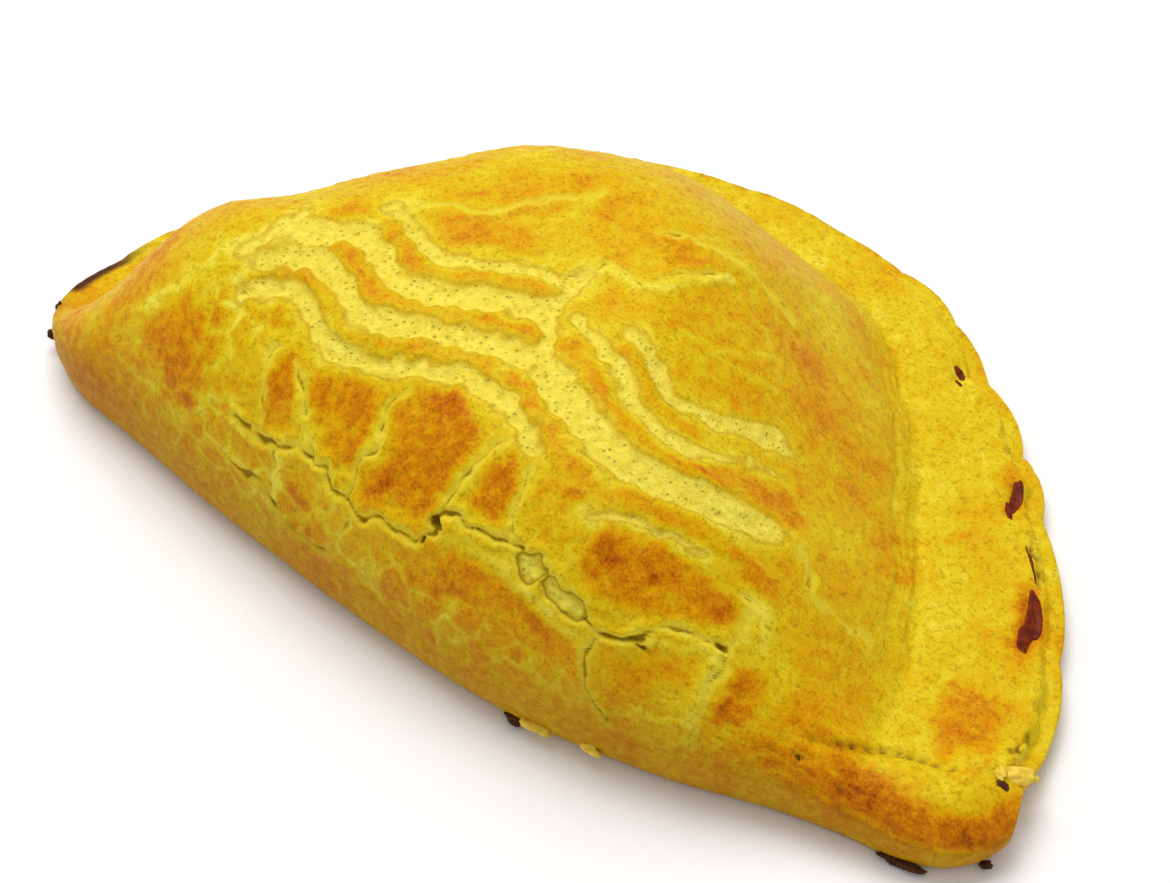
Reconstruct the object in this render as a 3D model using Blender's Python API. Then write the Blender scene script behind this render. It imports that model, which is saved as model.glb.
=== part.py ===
"""Folded meat pie: a half-moon of shortcrust, folded over its filling and pressed shut along the round edge.

Sizes are millimetres and become metres when the mesh is made. +X runs along the fold, +Y from the fold to the
round pressed edge, +Z up. The origin lies under the middle of the pie, on the surface that it rests on.
"""

import math

import bmesh
import bpy
import numpy as np

MM = 0.001

# The outline seen from above: the round pressed edge from the left tip to the right one, and then
# the fold back to the left.
PRESSED_EDGE = (
    (-74.5, -26.5), (-73, -16), (-68.8, -5.5), (-53.1, 17.7), (-41.3, 32), (-27.5, 40.4), (-10, 45.4),
    (10, 44.7), (24, 41.7), (36.5, 33.8), (48.3, 24.3), (59.9, 10.3), (68.8, -3), (73.5, -17), (76, -28),
)
FOLD_EDGE = (
    (73, -34.3), (67.5, -37.2), (60, -38.4), (52, -40.2), (45, -42.5), (38, -44.7), (22, -47.8),
    (4, -48.5), (-15, -47.2), (-35, -44.6), (-52, -41.6), (-64, -39.6), (-71.8, -34),
)
HALF_LENGTH = 75.0

# The raised crust.
TOP_HEIGHT = 34.0
BELLY_HEIGHT = 6.5  # height of the widest line along the fold
EDGE_HEIGHT = 4.5  # thickness of the two pressed layers
EDGE_TO_BELLY = 20.0  # distance from the pressed edge over which that thickness becomes the belly's height
FOLD_RISE = 25.0  # distance from the fold within which the crust reaches its top
FOLD_ROUNDNESS = 2.1  # 2 makes the fold a quarter ellipse, and more makes it fuller
FOLD_GIRTH = 26.0  # radius of the round that the crust makes over the fold
# Width of the pressed edge, and of the slope from there to the top, at several degrees about DISC_MIDDLE.
FLANGE = ((20, 18.2), (105, 6.8), (156, 6.8), (176, 4.0))
FAR_SLOPE = ((45, 45.0), (110, 31.0))
FOOT_EASE = 0.035  # share of that slope over which the crust starts to rise
LOBE_HEIGHT = 3.5  # the rolled end of the fold at the right tip
LOBE_PLACE = 66.0
LOBE_LENGTH = 14.0
LOBE_WIDTH = 13.0
BELLY_TUCK = 2.6  # how far the underside draws in below the fold
EDGE_TUCK = 0.7  # and below the pressed edge

# The pressed edge: where one press of the baker's fingers ends and the next begins, in degrees about
# the middle of the dough disc that was folded.
DISC_MIDDLE = (0.0, -30.0)
PRESS_ENDS = (6.5, 22.5, 40.6, 50, 60.5, 69, 78, 87, 98.5, 110.5, 119, 127, 138, 149, 160, 171)
SCALLOP = 1.2
SCALLOP_ROUND = 0.7  # 0.5 leaves a sharp nick between two presses, 1 an open one
SCALLOP_LEVEL = 0.7  # share of the scallop that lies inside the outline
PRESS_STEP = 0.45
CREASE_DEPTH = 0.4
CREASE_WIDTH = 0.06  # half width of the crease between two presses, as a share of a press
PRESS_RUN = (0.1, 0.94)  # shares of a press where its flat part starts and ends
SOFT_PRESSES = (50, 85)  # degrees between which the presses grow softer, towards the left
SOFTEST_PRESS = 0.35
FIRST_PRESS = -14.0  # degrees where the first press starts
LAST_PRESS = 190.0  # and where the last one ends
PRESS_FADE = (-4, 1)  # distances beyond the pressed edge's width between which the presses fade out
LOWER_LAYER_WIDTH = 2.3  # how far the lower layer shows beyond the upper one, on the right
LOWER_LAYER_DROP = 1.7
LOWER_LAYER_WALL = (-0.5, 0.5)
LOWER_LAYER_HIDES = (62, 74)  # degrees between which the upper layer comes to cover it
LOWER_LAYER_HIDDEN = 0.7  # share of the drop that is then gone
JUICE_GAPS = ((62.2, 2.2), (42.8, 3.0), (25.3, 4.6), (3.5, 2.2))  # where filling leaked: degrees, half length
JUICE_GAP_DEPTH = 1.2
JUICE_GAP_PLACE = 3.8  # distance from the rim
JUICE_GAP_WIDTH = 1.4
TIP_FADE = (2, 8)  # how much nearer the rim than the fold a place is, where the presses fade in from the tips

# Marks on the crust are placed by the distance along X and the distance round the crust from the widest
# line of the fold. Comb scores across the top: half width, then the points that the score runs through.
SCORE_DEPTH = 0.65
SCORE_WALL = (-0.6, 0.5)  # distances beyond the half width between which the score's wall rises
SCORES = (
    (1.3, ((-36, 26.5), (-34, 28.8), (-32.5, 30.2), (-30, 31), (-27.5, 30.8), (-25, 29.6), (-23, 28.3),
           (-20.5, 28), (-17, 28.6), (-13, 30), (-10, 31.5), (-7, 33), (-4, 34.4), (2.6, 34.7), (7.6, 32.7),
           (10, 31))),
    (1.8, ((-36.5, 32), (-32, 35.4), (-29.5, 36.3), (-26.8, 36), (-24.5, 35.2), (-22.3, 34.3), (-18.9, 34),
           (-16, 35), (-11, 37.3), (-5.2, 39.8), (0, 41.5), (3, 42), (6, 40.5))),
    (2.4, ((5, 41.3), (10, 38.8), (14, 37), (17, 36), (20, 35.5), (25, 36), (29, 37.8), (32, 39.2))),
    (1.9, ((-37, 37.5), (-34.8, 38.6), (-31.6, 41), (-29.3, 42.4), (-26, 43), (-23.7, 42.1), (-21.9, 41.1),
           (-19.3, 40.5), (-16.4, 41), (-12.7, 42.9), (-7.4, 46.7), (-4.9, 47.7), (-2.5, 48.6))),
    (1.0, ((-28.5, 48.8), (-24.9, 48.6), (-22.8, 47.9), (-19.9, 47), (-17.3, 47.2), (-14.7, 48.4),
           (-12.6, 49.8), (-10.4, 51.2), (-8.2, 52.6), (-5.2, 53.8), (-3.6, 53.8))),
    (1.2, ((-1.5, 57), (-1.5, 53.5), (-1.5, 50), (0.5, 47), (2.5, 44))),
    (1.0, ((2.2, 50.5), (5.2, 49.6), (8, 48.3), (11, 46.9), (13, 45.7), (15, 44.3), (17, 43.5), (19.4, 42.7),
           (21.4, 42.4), (23.6, 43.3))),
    (1.1, ((9.2, 52.7), (11.4, 51.7), (13.3, 50.7), (15.2, 49.6), (16.5, 49.1), (18.3, 48.6), (20, 49),
           (23, 50), (25, 51.5), (26.5, 52.5), (29.3, 54.3))),
    (0.6, ((20, 27), (22, 28.5), (25, 29.8), (28, 30.3))),
)
# Cracks between the baked plates of crust: half width, depth, points.
CRACKS = (
    (0.45, 0.9, ((-30, 13.3), (-27, 13), (-24, 13.7), (-19, 15), (-15.5, 15), (-13.5, 14.5), (-11, 13),
                 (-7.5, 13), (-4, 14), (1, 14), (3, 15.2), (3.5, 18), (5, 19.3), (7, 18.5), (11, 19.5),
                 (14.5, 20.3))),
    (1.6, 1.2, ((15.8, 18.8), (16.8, 17.8))),
    (1.5, 1.2, ((19.8, 16.8), (21.5, 16.4), (23.2, 16.1))),
    (0.5, 1.0, ((24.5, 15.5), (26, 14.8), (28, 14.9), (29.5, 15.8), (31, 17.2), (33, 19.8), (35, 21),
                (37.5, 21.8), (39.3, 22.6))),
    (0.45, 0.7, ((26.5, 14.8), (26.4, 12), (26.5, 9), (27.2, 7), (28.3, 5.3), (31, 3))),
    (0.4, 0.5, ((-10, 13.5), (-10, 17), (-9.5, 20), (-8.5, 22), (-9.5, 24), (-9.5, 27), (-9, 29.5))),
    (0.6, 0.5, ((3.5, 18), (3.5, 20), (4, 22.5), (4.5, 25), (5.5, 28), (7, 30))),
    (0.45, 0.5, ((12.3, 20), (12, 24), (11.5, 27), (11, 29))),
    (0.45, 0.5, ((-16.5, 15.3), (-19, 18.5), (-21, 21), (-24, 24))),
    (0.4, 0.5, ((-25.5, 13.5), (-26.5, 17), (-27, 20), (-28, 24))),
    (0.45, 0.4, ((-34, 13), (-35.3, 20), (-36, 25.5), (-38, 31))),
    (0.4, 0.6, ((-31, 7.6), (-28, 7.2), (-25, 7.5), (-23, 7.3), (-21, 5.5), (-19, 4.8), (-17, 4.1),
                (-14, 4.2), (-11, 4.6))),
    (0.4, 0.5, ((-21.5, 14), (-22, 12), (-22.5, 10.5), (-22, 7.5))),
    (0.4, 0.4, ((-8, 12.8), (-8.3, 10.8), (-10, 8), (-11.3, 6))),
    (0.45, 0.5, ((40, 22.5), (40.2, 15), (40.5, 10), (41, 5))),
    (0.5, 0.5, ((40, 22.5), (40, 26), (39.8, 29), (38.3, 30.3))),
    (0.5, 0.35, ((39.8, 29), (41.5, 27.5), (42.2, 25.5), (43.5, 23.5))),
    (0.7, 0.4, ((38.5, 42), (41, 38), (43.5, 36), (46, 36), (49.5, 38))),
    (0.5, 0.6, ((-3.5, 54), (-2.5, 57), (-0.5, 60.2), (2, 60), (5.8, 60.4), (6.5, 63.5), (8.3, 65.3),
                (9.2, 67.3), (9.6, 69.3))),
    (0.5, 0.4, ((-27, 49), (-24.4, 52.9), (-20.8, 54.9), (-17.5, 57.5), (-16, 59.6), (-14.2, 62.7),
                (-9.9, 66.9))),
)
CRACK_WALL = (-0.4, 0.5)
PLATE_LIFT = 0.35  # how far a plate's edge curls up beside a crack, as a share of the crack's depth
PLATE_LIFT_PLACE = 1.2  # distance of the curl from the crack
PLATE_LIFT_WIDTH = 0.9
MARKS_FADE = (-1, 3)  # distances beyond the pressed edge's width between which scores and cracks fade in
# Small round holes in the cracks: along, round, radius, depth.
HOLES = (
    (3.4, 17.8, 0.9, 1.3), (2.2, 14.2, 0.8, 0.8), (31.3, 17.3, 1.2, 0.8), (39.5, 22.6, 1.0, 0.7),
    (51.7, 12, 0.8, 0.7),
)
# The seam between the rolled end of the fold and the pressed edge, seen from above.
TIP_SEAM = (
    (52, -35), (54, -33.8), (56, -32.3), (58.5, -29.8), (62, -27.4), (65, -26.2), (68, -25.2), (72, -24),
)
TIP_SEAM_WIDTH = 0.9
TIP_SEAM_DEPTH = 0.9
# Folds where the raised crust meets the pressed edge: distance beyond the flange, half width, depth.
FOOT_CREASES = ((0.6, 1.2, 0.4), (3.6, 0.8, 0.3))
FOOT_CREASES_START = (8, 20)  # degrees between which they fade in, from the right tip
FOOT_CREASES_END = (88, 110)  # and out
FOOT_CREASES_OFF_FOLD = (14, 20)  # distances from the fold between which they fade in

# Slow unevenness of hand-made dough.
UNEVEN_SEED = 20
UNEVEN_WAVES = 14
UNEVEN_HEIGHT = 0.16
UNEVEN_LENGTHS = (12.0, 40.0)  # shortest and longest wave

# The mesh.
CELLS_ALONG = 240
CELLS_ACROSS = 136
CLOSER_TOWARDS_FOLD = (-0.4, 0.9)  # sines of the downward direction between which the cells close up
TUCK_TOWARDS_FOLD = (-0.3, 0.5)  # and between which the edge's tuck becomes the fold's
TUCK_RINGS = 4
EVEN_CELL = 0.4  # cell of the even mesh that is then thinned
TRIANGLES = 10800
SHARPEST = 60.0  # degrees between two triangles, above which their corners are softened
NICK_ROUNDS = 4
NICK_PULL = 0.5
FLAT_WITHIN = 0.02  # points this close to the resting plane lie on it
CURVE_STEPS = 12  # straight pieces between two points of a smooth curve
MIDDLE = np.array((0.0, -8.0))  # the point that the mesh spreads from

CRUST_COLOUR = (0.72, 0.40, 0.035, 1.0)
CRUST_ROUGHNESS = 0.5


def smooth_curve(points, closed=False):
    """Points along a Catmull-Rom curve through the given ones."""
    given = np.array(points, float)
    count = len(given)
    pieces = []
    for index in range(count if closed else count - 1):
        near = np.arange(index - 1, index + 3)
        before, start, end, after = given[near % count if closed else near.clip(0, count - 1)]
        way = np.linspace(0, 1, CURVE_STEPS, endpoint=False)[:, None]
        line = 2 * start + (end - before) * way
        bend = (2 * before - 5 * start + 4 * end - after) * way**2
        twist = (3 * start - before - 3 * end + after) * way**3
        pieces.append(0.5 * (line + bend + twist))
    if not closed:
        pieces.append(given[-1:])
    return np.concatenate(pieces)


def distance_to(places, route):
    """Distance of each place from a line of straight pieces."""
    start, run = route[:-1], np.diff(route, axis=0)
    best = np.full(len(places), np.inf)
    for origin, step in zip(start, run):
        way = np.clip((places - origin) @ step / (step @ step), 0, 1)
        best = np.minimum(best, np.hypot(*(places - origin - way[:, None] * step).T))
    return best


def ease(value, low, high):
    """0 below low, 1 above high, and smooth between."""
    way = np.clip((value - low) / (high - low), 0, 1)
    return way * way * (3 - 2 * way)


def bump(distance, width):
    """1 at no distance, falling off within about the width."""
    return np.exp(-((distance / width) ** 2))


def scalloped_edge():
    """The pressed edge with one shallow scallop for each press."""
    edge = smooth_curve(PRESSED_EDGE)
    arm = edge - DISC_MIDDLE
    away = np.hypot(*arm.T)
    rounds = np.sin(math.pi * press_phase(edge)) ** SCALLOP_ROUND
    swell = SCALLOP * press_strength(edge) * (rounds - SCALLOP_LEVEL)
    return DISC_MIDDLE + arm * (1 + swell / away)[:, None]


def disc_angle(places):
    """Degrees about the middle of the folded disc, from 0 at the right tip to 180 at the left one."""
    angle = np.degrees(np.arctan2(places[:, 1] - DISC_MIDDLE[1], places[:, 0] - DISC_MIDDLE[0]))
    return np.where(angle < -90, angle + 360, angle)


def press_phase(places):
    """0 to 1 from one end of a press to the next."""
    ends = np.array((FIRST_PRESS,) + PRESS_ENDS + (LAST_PRESS,))
    angle = np.clip(disc_angle(places), FIRST_PRESS, LAST_PRESS)
    index = np.minimum(np.searchsorted(ends, angle, side="right"), len(PRESS_ENDS) + 1) - 1
    return (angle - ends[index]) / (ends[index + 1] - ends[index])


def press_strength(places):
    """How hard the edge was pressed, as a share of the hardest presses."""
    return 1 - (1 - SOFTEST_PRESS) * ease(disc_angle(places), *SOFT_PRESSES)


def outline():
    """(the pressed edge, the fold edge) as routes that share their end points at the two tips."""
    pressed = scalloped_edge()
    loop = smooth_curve(PRESSED_EDGE + FOLD_EDGE, closed=True)
    fold = loop[(len(PRESSED_EDGE) - 1) * CURVE_STEPS :]
    fold[0] = pressed[-1]
    return pressed, np.vstack([fold, pressed[:1]])


def radius_of(pressed, fold):
    """The outline's distance from MIDDLE, as a function of the direction in radians."""
    start = np.vstack([pressed[:-1], fold[:-1]])[::-1] - MIDDLE
    angle = np.arctan2(start[:, 1], start[:, 0])
    start, angle = np.roll(start, -np.argmin(angle), axis=0), np.roll(angle, -np.argmin(angle))
    run = np.roll(start, -1, axis=0) - start

    def away(direction):
        piece = np.searchsorted(angle, direction, side="right") - 1
        reach = start[piece, 0] * run[piece, 1] - start[piece, 1] * run[piece, 0]
        return reach / (np.cos(direction) * run[piece, 1] - np.sin(direction) * run[piece, 0])

    return away


def round_the_crust(to_fold):
    """Distance over the crust from the widest line of the fold, from the distance seen from above."""
    over = FOLD_GIRTH * np.arccos(np.clip(1 - to_fold / FOLD_RISE, -1, 1))
    return np.where(to_fold < FOLD_RISE, over, FOLD_GIRTH * math.pi / 2 + to_fold - FOLD_RISE)


def width_of(part, places):
    """A width that is given at several directions, eased from each to the next."""
    angle = disc_angle(places)
    width = part[0][1]
    for (start, here), (end, there) in zip(part, part[1:]):
        width = width + (there - here) * ease(angle, start, end)
    return width


def flange(places):
    """Width of the pressed edge."""
    return width_of(FLANGE, places)


def crust_height(places, to_edge, to_fold):
    """Height of the crust without its marks, from the distances to its smooth edge and to the fold."""
    near = np.clip(to_fold / FOLD_RISE, 0, 1)
    over_fold = np.sqrt(1 - (1 - near) ** FOLD_ROUNDNESS)
    far = np.clip((to_edge - flange(places)) / width_of(FAR_SLOPE, places), 0, 1)
    over_rim = np.sin(math.pi / 2 * far * far * (1 + FOOT_EASE) / (far + FOOT_EASE))
    base = EDGE_HEIGHT + (BELLY_HEIGHT - EDGE_HEIGHT) * np.clip(to_edge / EDGE_TO_BELLY, 0, 1)
    roll = np.sin(math.pi * np.clip(to_fold / LOBE_WIDTH, 0, 1))
    roll *= bump(places[:, 0] - LOBE_PLACE, LOBE_LENGTH)
    return base + (TOP_HEIGHT - BELLY_HEIGHT) * over_fold * over_rim + LOBE_HEIGHT * roll


def scores(marks):
    """Depth of the comb scores."""
    depth = np.zeros(len(marks))
    for half_width, points in SCORES:
        off = distance_to(marks, smooth_curve(points)) - half_width
        depth = np.maximum(depth, SCORE_DEPTH * (1 - ease(off, *SCORE_WALL)))
    return depth


def cracks(marks):
    """Depth of the cracks and holes, less the lift of the plates beside them."""
    depth = np.zeros(len(marks))
    lift = np.zeros(len(marks))
    for half_width, deep, points in CRACKS:
        off = distance_to(marks, np.array(points, float)) - half_width
        depth = np.maximum(depth, deep * (1 - ease(off, *CRACK_WALL)))
        lift = np.maximum(lift, PLATE_LIFT * deep * bump(off - PLATE_LIFT_PLACE, PLATE_LIFT_WIDTH))
    for along, round_crust, radius, deep in HOLES:
        off = np.hypot(marks[:, 0] - along, marks[:, 1] - round_crust)
        depth = np.maximum(depth, deep * bump(off, radius))
    return depth - lift * (depth < PLATE_LIFT)


def pressed_marks(places, to_rim, to_fold):
    """Depth of the marks on the pressed edge: presses, creases, lower layer and juice gaps."""
    phase = press_phase(places)
    off_tips = ease(to_fold - to_rim, *TIP_FADE)
    on_edge = off_tips * (1 - ease(to_rim - flange(places), *PRESS_FADE))
    crease = CREASE_DEPTH * (bump(phase, CREASE_WIDTH) + bump(phase - 1, CREASE_WIDTH))
    start, end = PRESS_RUN
    step = PRESS_STEP * (0.5 - phase) * ease(phase, 0, start) * (1 - ease(phase, end, 1))
    lower = LOWER_LAYER_DROP * (1 - ease(to_rim - LOWER_LAYER_WIDTH, *LOWER_LAYER_WALL))
    lower *= 1 - LOWER_LAYER_HIDDEN * ease(disc_angle(places), *LOWER_LAYER_HIDES)
    gap = np.zeros(len(places))
    for degrees, half_length in JUICE_GAPS:
        along = np.radians(disc_angle(places) - degrees) * HALF_LENGTH
        across = to_rim - JUICE_GAP_PLACE
        gap = np.maximum(gap, JUICE_GAP_DEPTH * bump(along, half_length) * bump(across, JUICE_GAP_WIDTH))
    pressed = press_strength(places) * (crease + step)
    return on_edge * (pressed + gap) + off_tips * lower


def foot_marks(places, to_rim, to_fold):
    """Depth of the folds at the foot of the raised crust and of the seam at the right tip."""
    beyond = to_rim - flange(places)
    angle = disc_angle(places)
    shown = ease(angle, *FOOT_CREASES_START) * (1 - ease(angle, *FOOT_CREASES_END))
    shown *= ease(to_fold, *FOOT_CREASES_OFF_FOLD)
    depth = np.zeros(len(places))
    for offset, half_width, deep in FOOT_CREASES:
        depth = np.maximum(depth, deep * bump(beyond - offset, half_width) * shown)
    seam = TIP_SEAM_DEPTH * bump(distance_to(places, smooth_curve(TIP_SEAM)), TIP_SEAM_WIDTH)
    return np.maximum(depth, seam)


def unevenness(points):
    """Slow swells of the dough, as a sum of seeded waves through space."""
    draw = np.random.default_rng(UNEVEN_SEED)
    total = np.zeros(len(points))
    for _ in range(UNEVEN_WAVES):
        direction = draw.normal(size=3)
        direction /= np.linalg.norm(direction)
        length = draw.uniform(*UNEVEN_LENGTHS)
        total += np.sin(points @ direction * 2 * math.pi / length + draw.uniform(0, 2 * math.pi))
    return UNEVEN_HEIGHT * total / math.sqrt(UNEVEN_WAVES / 2)


def disc_grid():
    """A square grid drawn into the unit disc, as (share of the radius, direction)."""
    across, along = np.meshgrid(
        np.linspace(-1, 1, CELLS_ACROSS + 1), np.linspace(-1, 1, CELLS_ALONG + 1), indexing="ij"
    )
    x = along * np.sqrt(1 - across**2 / 2)
    y = across * np.sqrt(1 - along**2 / 2)
    share = np.minimum(np.hypot(x, y), 1)
    direction = np.arctan2(y, x)
    # The fold rises steeply, so the cells close up towards it.
    steep = ease(-np.sin(direction), *CLOSER_TOWARDS_FOLD)
    return (share + (np.sin(math.pi / 2 * share) - share) * steep).ravel(), direction.ravel()


def border():
    """The grid points round the border, anticlockwise."""
    wide, deep = CELLS_ALONG + 1, CELLS_ACROSS + 1
    bottom = list(range(wide - 1))
    right = [row * wide + wide - 1 for row in range(deep - 1)]
    top = [(deep - 1) * wide + column for column in range(wide - 1, 0, -1)]
    left = [row * wide for row in range(deep - 1, 0, -1)]
    return np.array(bottom + right + top + left)


def grid_faces(names, upward):
    """Quads over the grid, with their upper side out or their lower side out."""
    wide = CELLS_ALONG + 1
    cells = [row * wide + column for row in range(CELLS_ACROSS) for column in range(CELLS_ALONG)]
    faces = [(names[cell], names[cell + 1], names[cell + wide + 1], names[cell + wide]) for cell in cells]
    return faces if upward else [face[::-1] for face in faces]


def surface_normals(points):
    """Unit normals of the top grid, pointing up and out."""
    sheet = points.reshape(CELLS_ACROSS + 1, CELLS_ALONG + 1, 3)
    along = np.gradient(sheet, axis=1)
    across = np.gradient(sheet, axis=0)
    normal = np.cross(along, across).reshape(-1, 3)
    return normal / np.linalg.norm(normal, axis=1)[:, None]


def top_points(places, pressed, fold):
    """The upper surface with its marks."""
    to_rim = distance_to(places, pressed)
    to_edge = distance_to(places, smooth_curve(PRESSED_EDGE))
    to_fold = distance_to(places, fold)
    points = np.column_stack([places, crust_height(places, to_edge, to_fold)])
    marks = np.column_stack([places[:, 0], round_the_crust(to_fold)])
    raised = ease(to_rim - flange(places), *MARKS_FADE)
    depth = (scores(marks) + cracks(marks)) * raised + foot_marks(places, to_rim, to_fold)
    lift = unevenness(points) - depth
    marked = points + surface_normals(points) * lift[:, None]
    marked[:, 2] -= pressed_marks(places, to_rim, to_fold)
    return marked


def crust_mesh():
    """The closed crust: marked top, rounded tuck below the outline and flat base."""
    pressed, fold = outline()
    radius = radius_of(pressed, fold)
    share, direction = disc_grid()
    way = np.column_stack([np.cos(direction), np.sin(direction)])
    away = radius(direction)
    top = top_points(MIDDLE + way * (share * away)[:, None], pressed, fold)
    loop = border()
    side = ease(-np.sin(direction), *TUCK_TOWARDS_FOLD)
    tuck = EDGE_TUCK + (BELLY_TUCK - EDGE_TUCK) * side
    base = np.column_stack([MIDDLE + way * (share * (away - tuck))[:, None], np.zeros(len(share))])

    points = [top]
    rings = [loop]
    count = len(top)
    for ring in range(1, TUCK_RINGS):
        turn = math.pi / 2 * ring / TUCK_RINGS
        spot = base[loop] + (top[loop] - base[loop]) * math.cos(turn)
        spot[:, 2] = top[loop, 2] * (1 - math.sin(turn))
        points.append(spot)
        rings.append(count + np.arange(len(loop)))
        count += len(loop)
    points.append(base)
    base_names = count + np.arange(len(base))
    rings.append(base_names[loop])

    faces = grid_faces(np.arange(len(top)), True) + grid_faces(base_names, False)
    for upper, lower in zip(rings, rings[1:]):
        corners = zip(upper, lower, np.roll(lower, -1), np.roll(upper, -1))
        faces += [tuple(face) for face in corners]

    mesh = bpy.data.meshes.new("crust_grid")
    mesh.from_pydata(np.vstack(points).tolist(), [], [[int(name) for name in face] for face in faces])
    work = bmesh.new()
    work.from_mesh(mesh)
    bmesh.ops.triangulate(work, faces=work.faces[:])
    work.to_mesh(mesh)
    work.free()
    return mesh


def thinned(mesh):
    """The same shape with fewer triangles, kept where the marks are, and flat where it rests."""
    crust = bpy.data.objects.new("crust_thinning", mesh)
    bpy.context.scene.collection.objects.link(crust)
    even = crust.modifiers.new("even", "REMESH")
    even.mode = "VOXEL"
    even.voxel_size = EVEN_CELL
    cells = len(crust.evaluated_get(bpy.context.evaluated_depsgraph_get()).data.polygons)
    thin = crust.modifiers.new("thin", "DECIMATE")
    thin.ratio = TRIANGLES / (2 * cells)
    thin.use_collapse_triangulate = True
    result = bpy.data.meshes.new_from_object(crust.evaluated_get(bpy.context.evaluated_depsgraph_get()))
    bpy.data.objects.remove(crust)
    bpy.data.meshes.remove(mesh)
    soften_nicks(result)
    for vertex in result.vertices:
        if vertex.co.z < FLAT_WITHIN:
            vertex.co.z = 0
    return result


def soften_nicks(mesh):
    """Draws each corner that is too sharp for dough towards its neighbours."""
    work = bmesh.new()
    work.from_mesh(mesh)
    for _ in range(NICK_ROUNDS):
        sharp = [edge for edge in work.edges if edge.calc_face_angle(0) > math.radians(SHARPEST)]
        corners = {corner for edge in sharp for corner in edge.verts if corner.co.z > EDGE_TUCK}
        ordered = sorted(corners, key=lambda corner: corner.index)
        bmesh.ops.smooth_vert(
            work, verts=ordered, factor=NICK_PULL, use_axis_x=True, use_axis_y=True, use_axis_z=True
        )
    work.to_mesh(mesh)
    work.free()


def centred(mesh):
    """The mesh in metres, moved so that the middle of its box, seen from above, is over the origin."""
    points = np.array([vertex.co for vertex in mesh.vertices])
    middle = (points.min(axis=0) + points.max(axis=0)) / 2
    for vertex, point in zip(mesh.vertices, points - (middle[0], middle[1], 0)):
        vertex.co = point * MM
    return mesh


def crust_material():
    """Glazed golden shortcrust."""
    material = bpy.data.materials.new("golden_crust")
    material.use_nodes = True
    surface = material.node_tree.nodes["Principled BSDF"]
    surface.inputs["Base Color"].default_value = CRUST_COLOUR
    surface.inputs["Roughness"].default_value = CRUST_ROUGHNESS
    surface.inputs["Metallic"].default_value = 0.0
    return material


def main():
    """Clears the scene and makes the pie."""
    for old in list(bpy.data.objects):
        bpy.data.objects.remove(old)
    mesh = centred(thinned(crust_mesh()))
    mesh.name = "pie_crust"
    mesh.materials.append(crust_material())
    mesh.shade_smooth()
    crust = bpy.data.objects.new("pie_crust", mesh)
    bpy.context.scene.collection.objects.link(crust)


main()
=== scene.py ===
"""Looks of the folded meat pie: glazed golden shortcrust with comb scores, baked cracks and a pressed edge.

Lengths in the classes are millimetres in the frame that the crust was drawn in: +X along the fold, +Y from the
fold to the round pressed edge, +Z up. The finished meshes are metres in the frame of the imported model.
Marks on the crust are placed by (x, g): the distance along X and the distance round the crust from the widest
line of the fold. Marks on the pressed edge are placed by (angle, to_rim): degrees about the middle of the dough
disc that was folded, from the right tip, and the distance from the rim.
"""

import logging
import math
from dataclasses import dataclass
from enum import Enum

import bpy
import numpy as np
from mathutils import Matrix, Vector

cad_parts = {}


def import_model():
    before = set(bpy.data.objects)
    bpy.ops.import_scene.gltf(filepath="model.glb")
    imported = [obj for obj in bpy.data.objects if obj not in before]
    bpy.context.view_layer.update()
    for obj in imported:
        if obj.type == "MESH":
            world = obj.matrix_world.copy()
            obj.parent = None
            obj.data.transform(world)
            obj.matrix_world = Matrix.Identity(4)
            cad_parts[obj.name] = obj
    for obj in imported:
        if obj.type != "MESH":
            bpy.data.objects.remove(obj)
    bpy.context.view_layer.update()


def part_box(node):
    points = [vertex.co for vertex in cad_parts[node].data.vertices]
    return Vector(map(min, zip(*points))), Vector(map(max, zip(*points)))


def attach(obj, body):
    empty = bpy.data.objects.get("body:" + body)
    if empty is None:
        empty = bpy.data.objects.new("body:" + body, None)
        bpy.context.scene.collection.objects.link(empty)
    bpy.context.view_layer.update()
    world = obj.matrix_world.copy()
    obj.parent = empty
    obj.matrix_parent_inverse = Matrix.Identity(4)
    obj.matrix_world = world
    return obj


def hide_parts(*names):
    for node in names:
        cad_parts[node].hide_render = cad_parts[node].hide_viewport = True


LOG = logging.getLogger("meat_pie")
MM = 0.001
BODY = "root"
NODE = "pie_crust"
CURVE_STEPS = 8  # straight pieces between two points of a smooth curve
REACH = 6.0  # marks are measured exactly up to this distance
CODED = 4.0  # distances from -CODED / 2 to CODED / 2 are stored at the vertices as 0 to 1
FAR = 1e6

Array = np.ndarray
Pair = tuple[float, float]
Triple = tuple[float, float, float]
Colour = tuple[float, float, float]
Faces = list[tuple[int, ...]]
Socket = bpy.types.NodeSocket
Level = Socket | float  # a shader value: a link or a number
Tint = Socket | tuple[float, float, float, float]  # a shader colour: a link or four numbers


def ease(value: Array, low: float, high: float) -> Array:
    """0 below low, 1 above high, and smooth between."""
    way = np.clip((value - low) / (high - low), 0, 1)
    return way * way * (3 - 2 * way)


def bump(distance: Array, width: float) -> Array:
    """1 at no distance, falling off within about the width."""
    return np.exp(-((distance / width) ** 2))


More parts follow.
